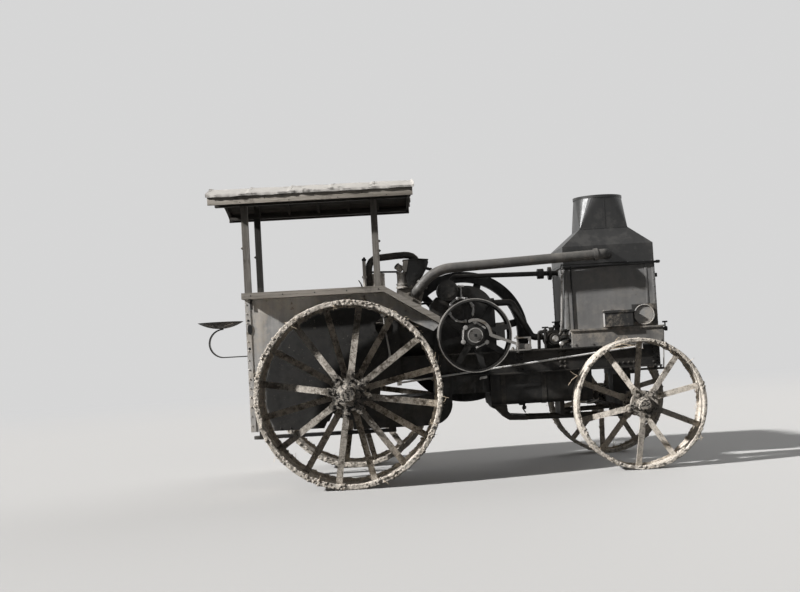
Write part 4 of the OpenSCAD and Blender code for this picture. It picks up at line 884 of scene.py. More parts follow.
class Stock:
    """Closed shapes of one finish on one body, gathered into one piece."""

    def __init__(self, name: str, finish: str, body: str = "chassis") -> None:
        """Start an empty piece of a finish, on a body."""
        self.name, self.finish, self.body = name, finish, body
        self.form = bmesh.new()

    def shell(self, rings: Sequence[Sequence[Vector]], closed: bool = False) -> list[bmesh.types.BMVert]:
        """Join rings of points into a skin, with a face on each end unless it closes on itself."""
        rows = [[self.form.verts.new(point) for point in ring] for ring in rings]
        count = len(rows[0])
        for a, b in zip(rows, rows[1:] + rows[:1] if closed else rows[1:]):
            for i in range(count):
                j = (i + 1) % count
                self.form.faces.new((a[i], a[j], b[j], b[i]))
        if not closed:
            self.form.faces.new(rows[0][::-1])
            self.form.faces.new(rows[-1])
        return [vert for row in rows for vert in row]

    def tube(self, path: Sequence[Sequence[float]], radius: float | Sequence[float], sides: int = 12) -> None:
        """Add a round bar, wire or pipe through points."""
        path = [Vector(point) for point in path]
        radii = [radius] * len(path) if isinstance(radius, float) else list(radius)
        side = (path[1] - path[0]).orthogonal().normalized()
        rings = []
        for i, point in enumerate(path):
            way = (path[min(i + 1, len(path) - 1)] - path[max(i - 1, 0)]).normalized()
            side = (side - way * side.dot(way)).normalized()
            rings.append(hoop(point, side, way.cross(side), radii[i], sides))
        self.shell(rings)

    def bent(self, path: Sequence[Sequence[float]], radius: float, bend: float, sides: int = 12) -> None:
        """Add a pipe whose corners are rounded."""
        path = [Vector(point) for point in path]
        round_path = [path[0]]
        for a, b, c in zip(path, path[1:], path[2:]):
            reach = min(bend, (a - b).length * 0.45, (c - b).length * 0.45)
            start, end = b + (a - b).normalized() * reach, b + (c - b).normalized() * reach
            round_path += [start.lerp(b, t).lerp(b.lerp(end, t), t) for t in (0, 0.25, 0.5, 0.75, 1)]
        self.tube(round_path + [path[-1]], radius, sides)

    def turned(self, start: Sequence[float], end: Sequence[float], profile: Sequence[tuple[float, float]],
               sides: int = 24) -> None:
        """Add a turned shape between two points.

        Args:
            start: Start of the axis.
            end: End of the axis.
            profile: Pairs of share along the axis and radius.
            sides: Sides round the axis.
        """
        start, end = Vector(start), Vector(end)
        way = (end - start).normalized()
        side = way.orthogonal().normalized()
        self.shell([hoop(start.lerp(end, share), side, way.cross(side), radius, sides) for share, radius in profile])

    def ring(self, centre: Sequence[float], way: Sequence[float], radius: float, thick: float,
             sides: int = 40) -> None:
        """Add a round ring of wire or bead."""
        way = Vector(way).normalized()
        side = way.orthogonal().normalized()
        outs = hoop(Vector(), side, way.cross(side), 1.0, sides)
        self.shell([hoop(Vector(centre) + out * radius, out, way, thick, 8) for out in outs], closed=True)

    def slab(self, outline: Sequence[Sequence[float]], depth: Sequence[float], edge: float = 0.0015) -> None:
        """Add a flat plate with eased edges.

        Args:
            outline: Corners of one face.
            depth: Vector to the other face.
            edge: Width of the eased edges.
        """
        outline = [Vector(point) for point in outline]
        verts = self.shell([outline, [point + Vector(depth) for point in outline]])
        if edge:
            bmesh.ops.recalc_face_normals(self.form, faces=list({f for v in verts for f in v.link_faces}))
            sharp = [e for e in {e for v in verts for e in v.link_edges} if e.calc_face_angle(0) > 0.6]
            bmesh.ops.bevel(self.form, geom=sharp, offset=edge, segments=2, profile=0.6, affect="EDGES")

    def box(self, low: Sequence[float], high: Sequence[float], edge: float = 0.0015) -> None:
        """Add a block between two corners."""
        (x0, y0, z0), (x1, y1, z1) = low, high
        self.slab([(x0, y0, z0), (x1, y0, z0), (x1, y1, z0), (x0, y1, z0)], (0, 0, z1 - z0), edge)

    def build(self, shop: Shop) -> bpy.types.Object:
        """Turn the gathered shapes into a mounted piece."""
        bmesh.ops.recalc_face_normals(self.form, faces=self.form.faces[:])
        mesh = bpy.data.meshes.new(self.name)
        self.form.to_mesh(mesh)
        self.form.free()
        mesh.materials.append(shop.made[self.finish])
        mesh.shade_smooth()
        mesh.set_sharp_from_angle(angle=math.radians(38))
        return shop.settle(linked(self.name, mesh), self.finish, self.body)


@dataclass
class Camera:
    """The photograph's camera, worked out from the wheels, roof and frame."""

    place: Vector = field(default_factory=lambda: Vector((-0.528, -10.63, 1.22)))
    focus_px: float = 1105.0
    across_px: tuple[float, float] = (385.0, 345.0)
    roll_deg: float = 3.2
    sensor_mm: float = 36.0

    def build(self) -> None:
        """Set up the camera so that the Y axis vanishes at its pixel and the rest rolls with it."""
        width, height = FRAME_SIZE
        right = Vector((self.across_px[0] - width / 2, height / 2 - self.across_px[1], 0)) / self.focus_px
        ahead = Vector((right.x, right.y, -1)).normalized()
        roll = math.radians(self.roll_deg)
        turn = Vector((0, 0, -1)).rotation_difference(ahead).to_matrix()
        level = Matrix(((1, 0, 0), (0, 0, -1), (0, 1, 0)))
        rolled = Matrix.Rotation(roll, 3, "Z")
        turned = level @ (turn @ rolled).transposed()
        data = bpy.data.cameras.new("camera")
        data.sensor_width = self.sensor_mm
        data.lens = self.focus_px * self.sensor_mm / width
        data.dof.use_dof = False
        camera = bpy.data.objects.new("camera", data)
        camera.matrix_world = Matrix.Translation(self.place) @ turned.to_4x4()
        bpy.context.scene.collection.objects.link(camera)
        bpy.context.scene.camera = camera


@dataclass
class Studio:
    """Pale floor that runs into a pale backdrop, under one hard lamp and a soft fill."""

    floor_r: float = 54.0
    clear_r: float = 7.0
    floor: Colour = grey(0.68, 0.01)
    pale: Colour = grey(0.84, 0.0)
    fill: float = 0.13
    sun: float = 7.0
    sun_from: Vector = field(default_factory=lambda: Vector((-2.75, -1.0, 1.85)))
    sun_deg: float = 2.5
    soft_share: float = 0.2
    soft_from: Vector = field(default_factory=lambda: Vector((1.3, 1.5, 0.8)))
    soft_deg: float = 50.0

    def build(self) -> None:
        """Make floor, backdrop, fill and lamp."""
        shade = Shade("studio_floor")
        far = shade.add("ShaderNodeVectorMath", {"operation": "LENGTH"}, {0: shade.place}, output="Value")
        matt = shade.add("ShaderNodeBsdfPrincipled", {}, {"Base Color": self.floor, "Roughness": 0.9})
        glow = shade.add("ShaderNodeEmission", {}, {"Color": self.pale, "Strength": 1.0})
        shade.add_output(shade.add("ShaderNodeMixShader", {}, {
            0: far.rise(self.clear_r, self.clear_r * 3), 1: matt, 2: glow}))
        mesh = bpy.data.meshes.new("studio_floor")
        ring = [(self.floor_r * math.cos(math.pi * i / 32), self.floor_r * math.sin(math.pi * i / 32), 0)
                for i in range(64)]
        mesh.from_pydata(ring, [], [list(range(64))])
        mesh.materials.append(shade.material)
        backdrop = Shade("studio_backdrop")
        backdrop.add_output(backdrop.add("ShaderNodeEmission", {}, {"Color": self.pale, "Strength": 1.0}))
        form = bmesh.new()
        bmesh.ops.create_uvsphere(form, u_segments=48, v_segments=24, radius=self.floor_r + 1)
        dome = bpy.data.meshes.new("studio_backdrop")
        form.to_mesh(dome)
        form.free()
        dome.materials.append(backdrop.material)
        around = linked("studio_backdrop", dome)
        around.visible_diffuse = around.visible_shadow = False
        ground = linked("studio_floor", mesh)
        ground.visible_diffuse = False
        world = bpy.data.worlds.new("studio")
        world.use_nodes = True
        back = world.node_tree.nodes["Background"]
        back.inputs["Color"].default_value = (*self.pale, 1)
        back.inputs["Strength"].default_value = self.fill
        bpy.context.scene.world = world
        self.lamp("key", self.sun, self.sun_deg, self.sun_from)
        self.lamp("fill", self.sun * self.soft_share, self.soft_deg, self.soft_from)
        bpy.context.scene.view_settings.view_transform = "Standard"

    def lamp(self, name: str, energy: float, spread_deg: float, place: Vector) -> None:
        """Add a far lamp that fills an angle of the sky towards a place."""
        data = bpy.data.lights.new(name, "SUN")
        data.energy = energy
        data.angle = math.radians(spread_deg)
        lamp = bpy.data.objects.new(name, data)
        lamp.rotation_euler = place.to_track_quat("Z", "Y").to_euler()
        bpy.context.scene.collection.objects.link(lamp)


@dataclass
class RoadWheel:
    """Steel wheel whose rim and spokes carry dried mud."""

    hand: str
    seed: int
    axle: str
    lip: float
    web: float
    spokes: int
    turn_deg: float
    flange_faces: tuple[float, float]
    bolt_r: tuple[float, float]
    bolt: float
    around: int
    crust: float = 0.008
    deepest: float = 0.012
    edge: float = 0.013

    def __post_init__(self) -> None:
        """Take the wheel's place from its rim's node."""
        self.body = f"{self.axle}_wheel_{self.hand}"
        self.rim, self.hub = f"{self.axle}_rim_{self.hand}", f"{self.axle}_hub_{self.hand}"
        self.side = RIGHT if self.hand == "right" else LEFT
        low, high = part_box(self.rim)
        self.radius, self.width, self.start = (high.x - low.x) / 2, high.y - low.y, low.y
        self.centre = (low + high) / 2

    def section(self) -> list[tuple[float, float, float, float, float, float]]:
        """Walk round the rim's section.

        Returns:
            Place across and radius, the way out of the iron, depth of mud and share of clods.
        """
        w, r, e = self.width, self.radius, self.edge
        top, lip = r - self.web, r - self.lip
        # From and to, each as place across and radius; the way out; depth of mud; share of clods; steps
        sides = [((0, r), (w, r), (0, 1), 0.34, 0.05, 20), ((w, r), (w, lip), (1, 0), 1.0, 1.0, 6),
                 ((w, lip), (w - e, lip), (0, -1), 1.3, 0.9, 3), ((w - e, lip), (w - e, top), (-1, 0), 0.6, 0.4, 3),
                 ((w - e, top), (e, top), (0, -1), 0.8, 0.12, 16), ((e, top), (e, lip), (1, 0), 0.6, 0.4, 3),
                 ((e, lip), (0, lip), (0, -1), 1.3, 0.9, 3), ((0, lip), (0, r), (-1, 0), 1.0, 1.0, 6)]
        points = []
        for (y0, r0), (y1, r1), out, mud, clods, steps in sides:
            for k in range(steps):
                t = 0.04 + 0.92 * k / (steps - 1)
                points.append((y0 + (y1 - y0) * t, r0 + (r1 - r0) * t, *out, mud, clods))
        return points

    def depth(self, point: Vector, mud: float) -> float:
        """Give the depth of mud at a point of the iron."""
        wide = noise.fractal(point * 7.0, 1.0, 2.1, 3)
        small = noise.fractal(point * 48.0, 0.8, 2.2, 4)
        ragged = max(0.0, noise.noise(point * 31.0) - 0.15)
        return max(-0.0005, min(self.crust * mud * (0.22 + 0.35 * wide + 0.55 * small + 1.5 * ragged), self.deepest))

    def skin(self, name: str) -> bpy.types.Mesh:
        """Build the rim with its crust."""
        section, points, share = self.section(), [], []
        for i in range(self.around):
            angle = 2 * math.pi * i / self.around
            cos, sin = math.cos(angle), math.sin(angle)
            for y, r, out_y, out_r, mud, clods in section:
                iron = Vector((self.centre.x + r * cos, self.start + y, self.centre.z + r * sin))
                way = Vector((out_r * cos, out_y, out_r * sin))
                points.append(iron + way * self.depth(iron + Vector((self.seed * 3.7, 0, 0)), mud))
                share.append(clods)
        n = len(section)
        faces = [(i * n + j, i * n + (j + 1) % n, (i + 1) % self.around * n + (j + 1) % n,
                  (i + 1) % self.around * n + j) for i in range(self.around) for j in range(n)]
        mesh = skinned(name, points, faces)
        mesh.attributes.new("crust", "FLOAT", "POINT").data.foreach_set("value", share)
        return mesh

    def spoke_skin(self) -> bpy.types.Mesh:
        """Copy the hub's faces, with more clods near the rim."""
        form = bmesh.new()
        form.from_mesh(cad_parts[self.hub].data)
        bmesh.ops.remove_doubles(form, verts=form.verts[:], dist=1e-5)
        mesh = bpy.data.meshes.new(self.hub + "_copy")
        form.to_mesh(mesh)
        form.free()
        flat = Vector((1, 0, 1))
        out = [min(1.0, ((v.co - self.centre) * flat).length / self.radius) for v in mesh.vertices]
        mesh.attributes.new("crust", "FLOAT", "POINT").data.foreach_set("value", [0.35 + 0.65 * o for o in out])
        return mesh

    def build(self, shop: Shop) -> None:
        """Build crust, clods, straws and hub bolts."""
        mesh = self.skin(self.rim + "_crust")
        bare = mesh.copy()
        mesh.materials.append(shop.made["rim_mud"])
        shop.settle(linked(mesh.name, mesh), "rim_mud", self.body, self.rim)
        lumps = {"Density": 2600.0, "Smallest": 0.0025, "Largest": 0.0135}
        crumbs = {"Density": 900.0, "Smallest": 0.0015, "Largest": 0.0075}
        for title, recipe, base, sizes, finish in (
                ("clods", shop.clods, bare, lumps, "clod_mud"),
                ("spoke_clods", shop.clods, self.spoke_skin(), crumbs, "clod_mud"),
                ("straws", shop.straws, bare.copy(), {"Density": 90.0, "Length": 0.050}, "straw")):
            name = f"{self.axle}_{title}_{self.hand}"
            piece = recipe.carry_out(linked(name + "_base", base), name, Seed=self.seed * 10,
                                     Finish=shop.made[finish], **sizes)
            shop.settle(piece, finish, self.body)
        self.hub_bolts().build(shop, self.seed)

    def hub_bolts(self) -> Fasteners:
        """Set two bolts at the foot of each spoke, on the flange that it leans from."""
        near, far = self.flange_faces
        bolts = Fasteners(f"{self.axle}_hub_bolts_{self.hand}", Head.NUT, self.bolt, f"{self.axle}_spoke_mud",
                          self.body)
        for i in range(self.spokes):
            for face, turn, out in ((near, 0.0, self.side), (far, 180.0 / self.spokes, -self.side)):
                angle = math.radians(self.turn_deg + turn) + 2 * math.pi * i / self.spokes
                for r in self.bolt_r:
                    bolts.at(on_circle((self.centre.x, self.centre.z), r, angle, self.side * face), (0, out, 0))
        return bolts


@dataclass
class Cab:
    """Rivets, brackets, bolts and marks of the cab."""

    sheet_y: float = 0.449
    strip_y: float = 0.455
    rear_x: float = -1.794
    foot_z: float = 0.49
    sill_low: float = 1.704
    sill_top: float = 1.76
    lever_y: float = -0.482

    def build(self, shop: Shop) -> None:
        """Build both sides, the port's bolts and the levers."""
        self.fasteners(shop)
        self.brackets(shop)
        self.levers(shop)

    def fasteners(self, shop: Shop) -> None:
        """Rivet the sheets, nail the sills and bolt the posts and the port."""
        rivets = Fasteners("cab_rivets", Head.RIVET, 0.016, "cab_paint")
        nails = Fasteners("sill_nails", Head.RIVET, 0.012, "soot")
        nuts = Fasteners("post_nuts", Head.NUT, 0.024, "dusty_iron")
        port = Fasteners("port_bolts", Head.BOLT, 0.018, "cab_paint")
        strip_x = self.rear_x + 0.012
        for side in (RIGHT, LEFT):
            out, y = (0, side, 0), side * self.sheet_y
            rivets.row((strip_x, side * self.strip_y, 0.55), (strip_x, side * self.strip_y, 1.66), 0.085, out)
            rivets.row((-1.70, y, self.foot_z + 0.02), (-1.16, y, self.foot_z + 0.02), 0.09, out)
            rivets.row((-1.70, y, 1.688), (-0.60, y, 1.688), 0.11, out)
            nails.row((-1.72, side * 0.608, 1.732), (-0.56, side * 0.608, 1.732), 0.29, out)
            for x, way in zip(POSTS_X, (-1, 1)):
                nuts.at((x + way * 0.030, side * POST_Y, 2.175), (way, 0, 0))
        port.circle((-0.528, -0.459, 1.389), 0.105, 8, (0, -1, 0), 22.5)
        for piece in (rivets, nails, nuts, port):
            piece.build(shop)

    def brackets(self, shop: Shop) -> None:
        """Build the brackets of posts and sills, and the dark discs and ovals of painted shade that stand for the holes
        in the corner strips.
        """
        brackets = Stock("post_brackets", "dusty_iron")
        hole_shades = Stock("cab_hole_shades", "soot")
        x0, x1, hole_shade_x = self.rear_x + 0.050, self.rear_x + 0.072, self.rear_x + 0.024
        for side in (RIGHT, LEFT):
            for x in POSTS_X:
                inner = sorted((side * (POST_Y - 0.036), side * (POST_Y - 0.030)))
                brackets.box((x - 0.030, inner[0], self.sill_top), (x + 0.030, inner[1], self.sill_top + 0.10))
            for y, half, low in ((0.462, 0.003, 1.612), (0.53, 0.068, self.sill_low - 0.006)):
                brackets.box((x0, side * y - half, low), (x1, side * y + half, self.sill_low))
            # Painted shade: thin dark discs and an oval on each corner strip stand for the shade inside its holes and
            # handhold.
            for z in (1.255, 1.513):
                hole_shades.turned((hole_shade_x, side * self.strip_y, z), (hole_shade_x, side * (self.strip_y + 0.0015), z),
                             [(0, 0.011), (1, 0.010)], 16)
            oval = [(self.rear_x + 0.036 + 0.022 * math.cos(a), 1.43 + 0.048 * math.sin(a))
                    for a in (math.pi * k / 12 for k in range(24))]
            hole_shades.shell([at_y(side * y, *oval) for y in (0.4545, 0.4565)])
        brackets.build(shop)
        hole_shades.build(shop)

    def levers(self, shop: Shop) -> None:
        """Build the lever that hangs by the port and the one on the sill."""
        levers = Stock("cab_levers", "bright_edge")
        y = self.lever_y
        levers.tube([(-0.530, -0.474, 1.50), (-0.516, -0.480, 1.34), (-0.494, y, 1.19), (-0.487, y, 1.10)],
                    [0.007, 0.008, 0.009, 0.010])
        levers.turned((-0.487, y, 1.125), (-0.486, y, 1.075),
                      [(0, 0.009), (0.15, 0.017), (0.5, 0.022), (0.85, 0.017), (1, 0.008)])
        levers.turned((-0.530, -0.455, 1.50), (-0.530, -0.492, 1.50),
                      [(0, 0.024), (0.6, 0.024), (0.7, 0.014), (1, 0.013)])
        levers.build(shop)
        handle = Stock("sill_lever", "dusty_iron")
        handle.tube(at_y(-POST_Y, (-0.706, 1.757), (-0.716, 1.79), (-0.737, 1.825)), [0.009, 0.006, 0.005])
        handle.build(shop)


@dataclass
class Roof:
    """Boards and ribs of the roof, with felt laid over them in strips that lap, tear and curl."""

    start_x: float = -2.066
    end_x: float = -0.192
    half: float = 0.732
    base_z: float = 2.634
    rise: float = 0.118
    thick: float = 0.020
    board_low: float = 2.56
    strips: int = 5
    ribs: int = 7
    ceiling: int = 12
    steps: tuple[int, int] = (190, 84)

    def arch(self, y: float) -> float:
        """Give the height of the boards' curve."""
        radius = (self.half ** 2 + self.rise ** 2) / (2 * self.rise)
        return self.base_z + self.rise - radius + math.sqrt(radius ** 2 - min(abs(y), self.half) ** 2)

    def felt_point(self, s: float, t: float, end: float, under: bool) -> Vector:
        """Give a point of the felt.

        Args:
            s: Share of the way from the rear to the front.
            t: Place across, from -1 to 1.
            end: Number of the half along, so that each end tears in its own way.
            under: Whether the point lies on the lower side.

        Returns:
            The point.
        """
        x = self.start_x + (self.end_x - self.start_x) * s
        wave = noise.fractal(Vector((x * 5, t * 3, 4)), 1.0, 2.1, 4)
        y = t * (self.half + 0.004 + 0.009 * noise.fractal(Vector((x * 11, t, 1)), 0.8, 2.1, 4) * abs(t) ** 6)
        x += 0.010 * noise.fractal(Vector((t * 9, end, 7)), 0.8, 2.1, 4) * (abs(2 * s - 1) ** 30)
        lap = (s * self.strips) % 1.0
        step = 0.006 * (1 - lap) + 0.005 * max(0.0, 1 - lap * 14) * (0.5 + wave)
        curl = 0.010 * max(0.0, (abs(2 * s - 1) - 0.97) / 0.03) * (0.4 + wave)
        droop = 0.012 * max(0.0, (abs(t) - 0.965) / 0.035) * (0.7 + 0.6 * wave)
        over = 0.001 - droop * 0.8 + curl * 0.5 if under else self.thick + step + 0.004 * wave + curl - droop
        return Vector((x, y, self.arch(y) + over))

    def sheet(self) -> bpy.types.Mesh:
        """Build the felt as one closed skin."""
        along, across = self.steps
        points = [self.felt_point(i / along, 2 * j / across - 1, i // (along / 2), under)
                  for under in (False, True) for i in range(along + 1) for j in range(across + 1)]
        n, top = across + 1, (along + 1) * (across + 1)
        faces = [(layer + i * n + j, layer + i * n + j + 1, layer + (i + 1) * n + j + 1, layer + (i + 1) * n + j)
                 for layer in (0, top) for i in range(along) for j in range(across)]
        border = [i * n for i in range(along)] + [along * n + j for j in range(across)]
        border += [i * n + across for i in range(along, 0, -1)] + [j for j in range(across, 0, -1)]
        faces += [(a, b, b + top, a + top) for a, b in zip(border, border[1:] + border[:1])]
        mesh = skinned("roof_felt_sheet", points, faces)
        mesh.set_sharp_from_angle(angle=math.radians(60))
        return mesh

    def boards(self, shop: Shop) -> None:
        """Build the side boards, plates, curved ribs, ceiling boards and post tops."""
        wood = Stock("roof_boards_fitted", "roof_board")
        x0, x1, low = self.start_x + 0.012, self.end_x - 0.012, self.board_low
        for side in (RIGHT, LEFT):
            y = sorted((side * 0.720, side * 0.695))
            wood.box((x0, y[0], low), (x1, y[1], self.base_z + 0.004), 0.003)
            y = sorted((side * 0.550, side * 0.490))
            wood.box((x0 + 0.04, y[0], low), (x1 - 0.04, y[1], low + 0.025), 0.002)
        spread = [-0.694 + 1.388 * k / 24 for k in range(25)]
        for k in range(self.ribs):
            x = x0 + 0.004 + (x1 - x0 - 0.034) * k / (self.ribs - 1)
            deep = 0.060 if k in (0, self.ribs - 1) else 0.038
            upper = [Vector((x, y, self.arch(y) - 0.006)) for y in spread]
            lower = [Vector((x, y, max(low + 0.003, self.arch(y) - deep))) for y in spread[::-1]]
            wood.slab(upper + lower, (0.026, 0, 0), 0.0)
        for j in range(self.ceiling):
            a, b = [-0.715 + 1.43 * (j + step) / self.ceiling + gap for step, gap in ((0, 0.002), (1, -0.002))]
            wood.shell([[Vector((x, y, self.arch(y) + rise)) for y, rise in ((a, -0.008), (b, -0.008), (b, 0.004),
                                                                            (a, 0.004))] for x in (x0, x1)])
        for x in POSTS_X:
            for y in (-POST_Y, POST_Y):
                wood.box((x - 0.026, y - 0.026, low + 0.02), (x + 0.026, y + 0.026, self.arch(y) - 0.004), 0.002)
        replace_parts(wood.build(shop), "roof_boards")

    def build(self, shop: Shop) -> None:
        """Build boards, felt and nails."""
        self.boards(shop)
        mesh = self.sheet()
        mesh.materials.append(shop.made["roof_felt"])
        shop.settle(linked("roof_felt_sheet", mesh), "roof_felt", "chassis", "roof_panel")
        nails = Fasteners("felt_nails", Head.RIVET, 0.009, "dusty_iron")
        for strip in range(self.strips):
            x = self.start_x + (self.end_x - self.start_x) * (strip + 0.06) / self.strips
            for y in (k * 0.097 for k in range(-7, 8)):
                nails.at((x, y, self.arch(y) + self.thick + 0.004), (0, y * 0.3, 1))
        for side in (RIGHT, LEFT):
            for k in range(9):
                nails.at((-1.98 + 0.22 * k, side * 0.720, 2.602 - 0.03 * (k % 2)), (0, side, 0))
        nails.build(shop)


@dataclass
class Engine:
    """Intake, mixing chamber and small fittings of the engine."""

    pipe_y: float = -0.25
    riser_y: float = -0.300
    cock_y: float = -0.272
    bowl_x: float = -0.334
    head_x: float = -0.714
    plate: tuple[float, float] = (0.204, 1.508)
    plate_ring_r: float = 0.112

    def build(self, shop: Shop) -> None:
        """Build them all."""
        self.intake(shop)
        self.mixing_chamber(shop)
        self.float_bowl(shop)
        self.fasteners(shop)
        self.cock(shop)
        self.risers(shop)

    def intake(self, shop: Shop) -> None:
        """Build the intake pipe with its bend, in place of the plain one."""
        pipe = Stock("intake_bend", "dusty_iron")
        pipe.tube(at_y(self.pipe_y, (-0.649, 1.440), (-0.647, 1.70), (-0.643, 1.88), (-0.640, 1.945), (-0.632, 1.980),
                       (-0.615, 2.010), (-0.588, 2.031), (-0.552, 2.040), (-0.480, 2.045), (-0.380, 2.052),
                       (-0.300, 2.054), (-0.262, 2.050), (-0.228, 2.038), (-0.202, 2.015), (-0.186, 1.985)), 0.0325, 24)
        for z in (1.52, 1.80):
            pipe.turned((-0.646, self.pipe_y, z), (-0.6455, self.pipe_y, z + 0.022),
                        [(0, 0.034), (0.1, 0.039), (0.9, 0.039), (1, 0.034)])
        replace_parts(pipe.build(shop), "intake_pipe")

    def mixing_chamber(self, shop: Shop) -> None:
        """Build the flared box that the intake pipe drops into, with its lid and cover."""
        box = Stock("mixing_chamber", "engine_iron")
        box.slab(at_y(-0.327, (-0.300, 1.884), (-0.328, 1.925), (-0.314, 1.998), (-0.180, 2.000), (-0.088, 1.990),
                      (-0.080, 1.972), (-0.098, 1.918), (-0.150, 1.828), (-0.188, 1.742), (-0.285, 1.742)),
                 (0, 0.152, 0), 0.007)
        box.slab(at_y(-0.335, (-0.322, 1.996), (-0.178, 2.001), (-0.080, 1.991), (-0.080, 2.001), (-0.178, 2.011),
                      (-0.320, 2.006)), (0, 0.168, 0), 0.002)
        box.slab(at_y(-0.331, (-0.255, 1.80), (-0.190, 1.80), (-0.130, 1.90), (-0.125, 1.955), (-0.255, 1.955)),
                 (0, 0.006, 0), 0.002)
        box.turned((-0.106, self.pipe_y, 1.921), (-0.050, self.pipe_y, 1.902),
                   [(0, 0.014), (0.7, 0.014), (0.75, 0.018), (1, 0.017)], 12)
        box.turned((-0.205, -0.327, 1.86), (-0.205, -0.3345, 1.86), [(0, 0.022), (0.5, 0.022), (1, 0.014)], 12)
        box.build(shop)

    def float_bowl(self, shop: Shop) -> None:
        """Build the float bowl and the air tube beside it, with a dark disc of painted shade at the tube's end for its
        opening, in place of the plain carburettor.
        """
        bowl = Stock("float_bowl", "pale_scale")
        bowl.turned((self.bowl_x, self.pipe_y, 1.741), (self.bowl_x, self.pipe_y, 1.892),
                    [(0, 0.060), (0.08, 0.061), (0.12, 0.050), (0.20, 0.050), (0.22, 0.056), (0.30, 0.056),
                     (0.32, 0.047), (0.90, 0.047), (0.93, 0.053), (1, 0.050)], 32)
        bowl.slab(at_y(-0.334, (-0.328, 1.925), (-0.314, 2.000), (-0.268, 2.000), (-0.290, 1.892), (-0.302, 1.886)),
                  (0, 0.010, 0), 0.002)
        bowl.turned((-0.330, self.pipe_y, 1.915), (-0.382, -0.268, 1.958),
                    [(0, 0.034), (0.5, 0.034), (0.6, 0.030), (0.9, 0.032), (0.95, 0.034), (1, 0.028)], 24)
        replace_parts(bowl.build(shop), "carburettor")
        # Painted shade: a dark disc on the tube's closed end stands for the shade inside its opening.
        opening_shade = Stock("air_opening_shade", "soot")
        opening_shade.turned((-0.380, -0.2675, 1.957), (-0.3845, -0.269, 1.961), [(0, 0.026), (1, 0.025)], 20)
        opening_shade.build(shop)

    def fasteners(self, shop: Shop) -> None:
        """Set the bolts and nuts of block, heads, bowl and exhaust."""
        bolts = Fasteners("engine_bolts", Head.BOLT, 0.026, "engine_iron")
        bolts.circle((0.086, -0.323, 1.697), 0.055, 5, (0, -1, 0))
        nuts = Fasteners("engine_nuts", Head.NUT, 0.034, "engine_iron")
        for side in (RIGHT, LEFT):
            bolts.row((-0.03, side * 0.250, 1.145), (0.38, side * 0.250, 1.145), 0.082, (0, side, 0))
            for z in (1.32, 1.42, 1.52):
                bolts.at((0.46, side * 0.250, z), (0, side, 0))
            nuts.circle((self.head_x, side * 0.110, CRANK[1]), 0.145, 8, (-1, 0, 0), 22.5)
            for z in (1.36, 1.27, 1.16):
                nuts.at((-0.63, side * 0.297, z), (0, side, 0))
        small = Fasteners("carburettor_nuts", Head.NUT, 0.020, "warm_iron")
        for z in (1.759, 1.892):
            small.circle((self.bowl_x, self.pipe_y, z), 0.040, 6, (0, 0, 1))
        clamp = Fasteners("exhaust_nuts", Head.NUT, 0.026, "warm_iron")
        clamp.circle((-0.214, -0.276, 1.69), 0.066, 6, (0, -1, 0))
        for x in (-0.255, -0.172):
            clamp.at((x, -0.400, 1.741), (0, 0, 1))
        for piece in (bolts, nuts, small, clamp):
            piece.build(shop)

    def cock(self, shop: Shop) -> None:
        """Build the petcock with its winged handle, and the ring and studs of the side plate."""
        cock, y = Stock("petcock", "white_metal"), self.cock_y
        cock.turned((0.211, y, 1.610), (0.211, y, 1.650), [(0, 0.016), (0.5, 0.016), (0.6, 0.011), (1, 0.009)])
        cock.tube(at_y(y, (0.211, 1.64), (0.211, 1.725)), 0.0075)
        cock.tube(at_y(y, (0.178, 1.729), (0.192, 1.732), (0.211, 1.733), (0.230, 1.732), (0.244, 1.728)),
                  [0.008, 0.013, 0.011, 0.013, 0.008])
        cock.ring((self.plate[0], -0.290, self.plate[1]), (0, 1, 0), self.plate_ring_r, 0.011, 48)
        for k in range(8):
            ends = [on_circle(self.plate, self.plate_ring_r, math.pi * k / 4 + 0.3, y) for y in (-0.292, -0.320)]
            cock.turned(*ends, [(0, 0.017), (0.7, 0.017), (1, 0.010)], 12)
        cock.build(shop)

    def risers(self, shop: Shop) -> None:
        """Build the pale riser pipes, their dark ends and the leads to the plugs."""
        pipe, y = Stock("riser_pipe", "pale_scale"), self.riser_y
        pipe.bent([(-0.660, -0.262, 1.405), (-0.684, y, 1.46), (-0.684, y, 1.60), (-0.682, y, 2.02)], 0.016, 0.03, 16)
        pipe.turned((-0.683, y, 1.852), (-0.683, y, 1.876), [(0, 0.020), (0.2, 0.024), (0.8, 0.024), (1, 0.020)])
        pipe.box((-0.690, -0.284, 1.858), (-0.676, self.pipe_y, 1.870))
        pipe.turned((-0.555, self.pipe_y, 1.440), (-0.555, self.pipe_y, 1.902),
                    [(0, 0.058), (0.02, 0.063), (0.05, 0.058), (0.66, 0.058), (0.68, 0.064), (0.70, 0.064),
                     (0.72, 0.060), (0.95, 0.060), (0.97, 0.064), (0.98, 0.056), (1, 0.020)], 28)
        pipe.build(shop)
        cap = Stock("riser_cap", "soot")
        cap.turned((-0.682, y, 2.015), (-0.678, y, 2.050), [(0, 0.020), (0.5, 0.022), (0.7, 0.012), (1, 0.008)])
        cap.tube(at_y(self.pipe_y, (-0.625, 1.911), (-0.48, 1.905), (-0.375, 1.900)), 0.009)
        cap.build(shop)
        leads = Stock("ignition_leads", "soot")
        for y in (-0.14, 0.10):
            leads.bent([(0.02, y, 1.55), *at_y(y - 0.02, (-0.10, 1.60), (-0.42, 1.56)),
                        *at_y(y, (-0.60, 1.50), (-0.60, 1.44))], 0.006, 0.05, 8)
        leads.build(shop)


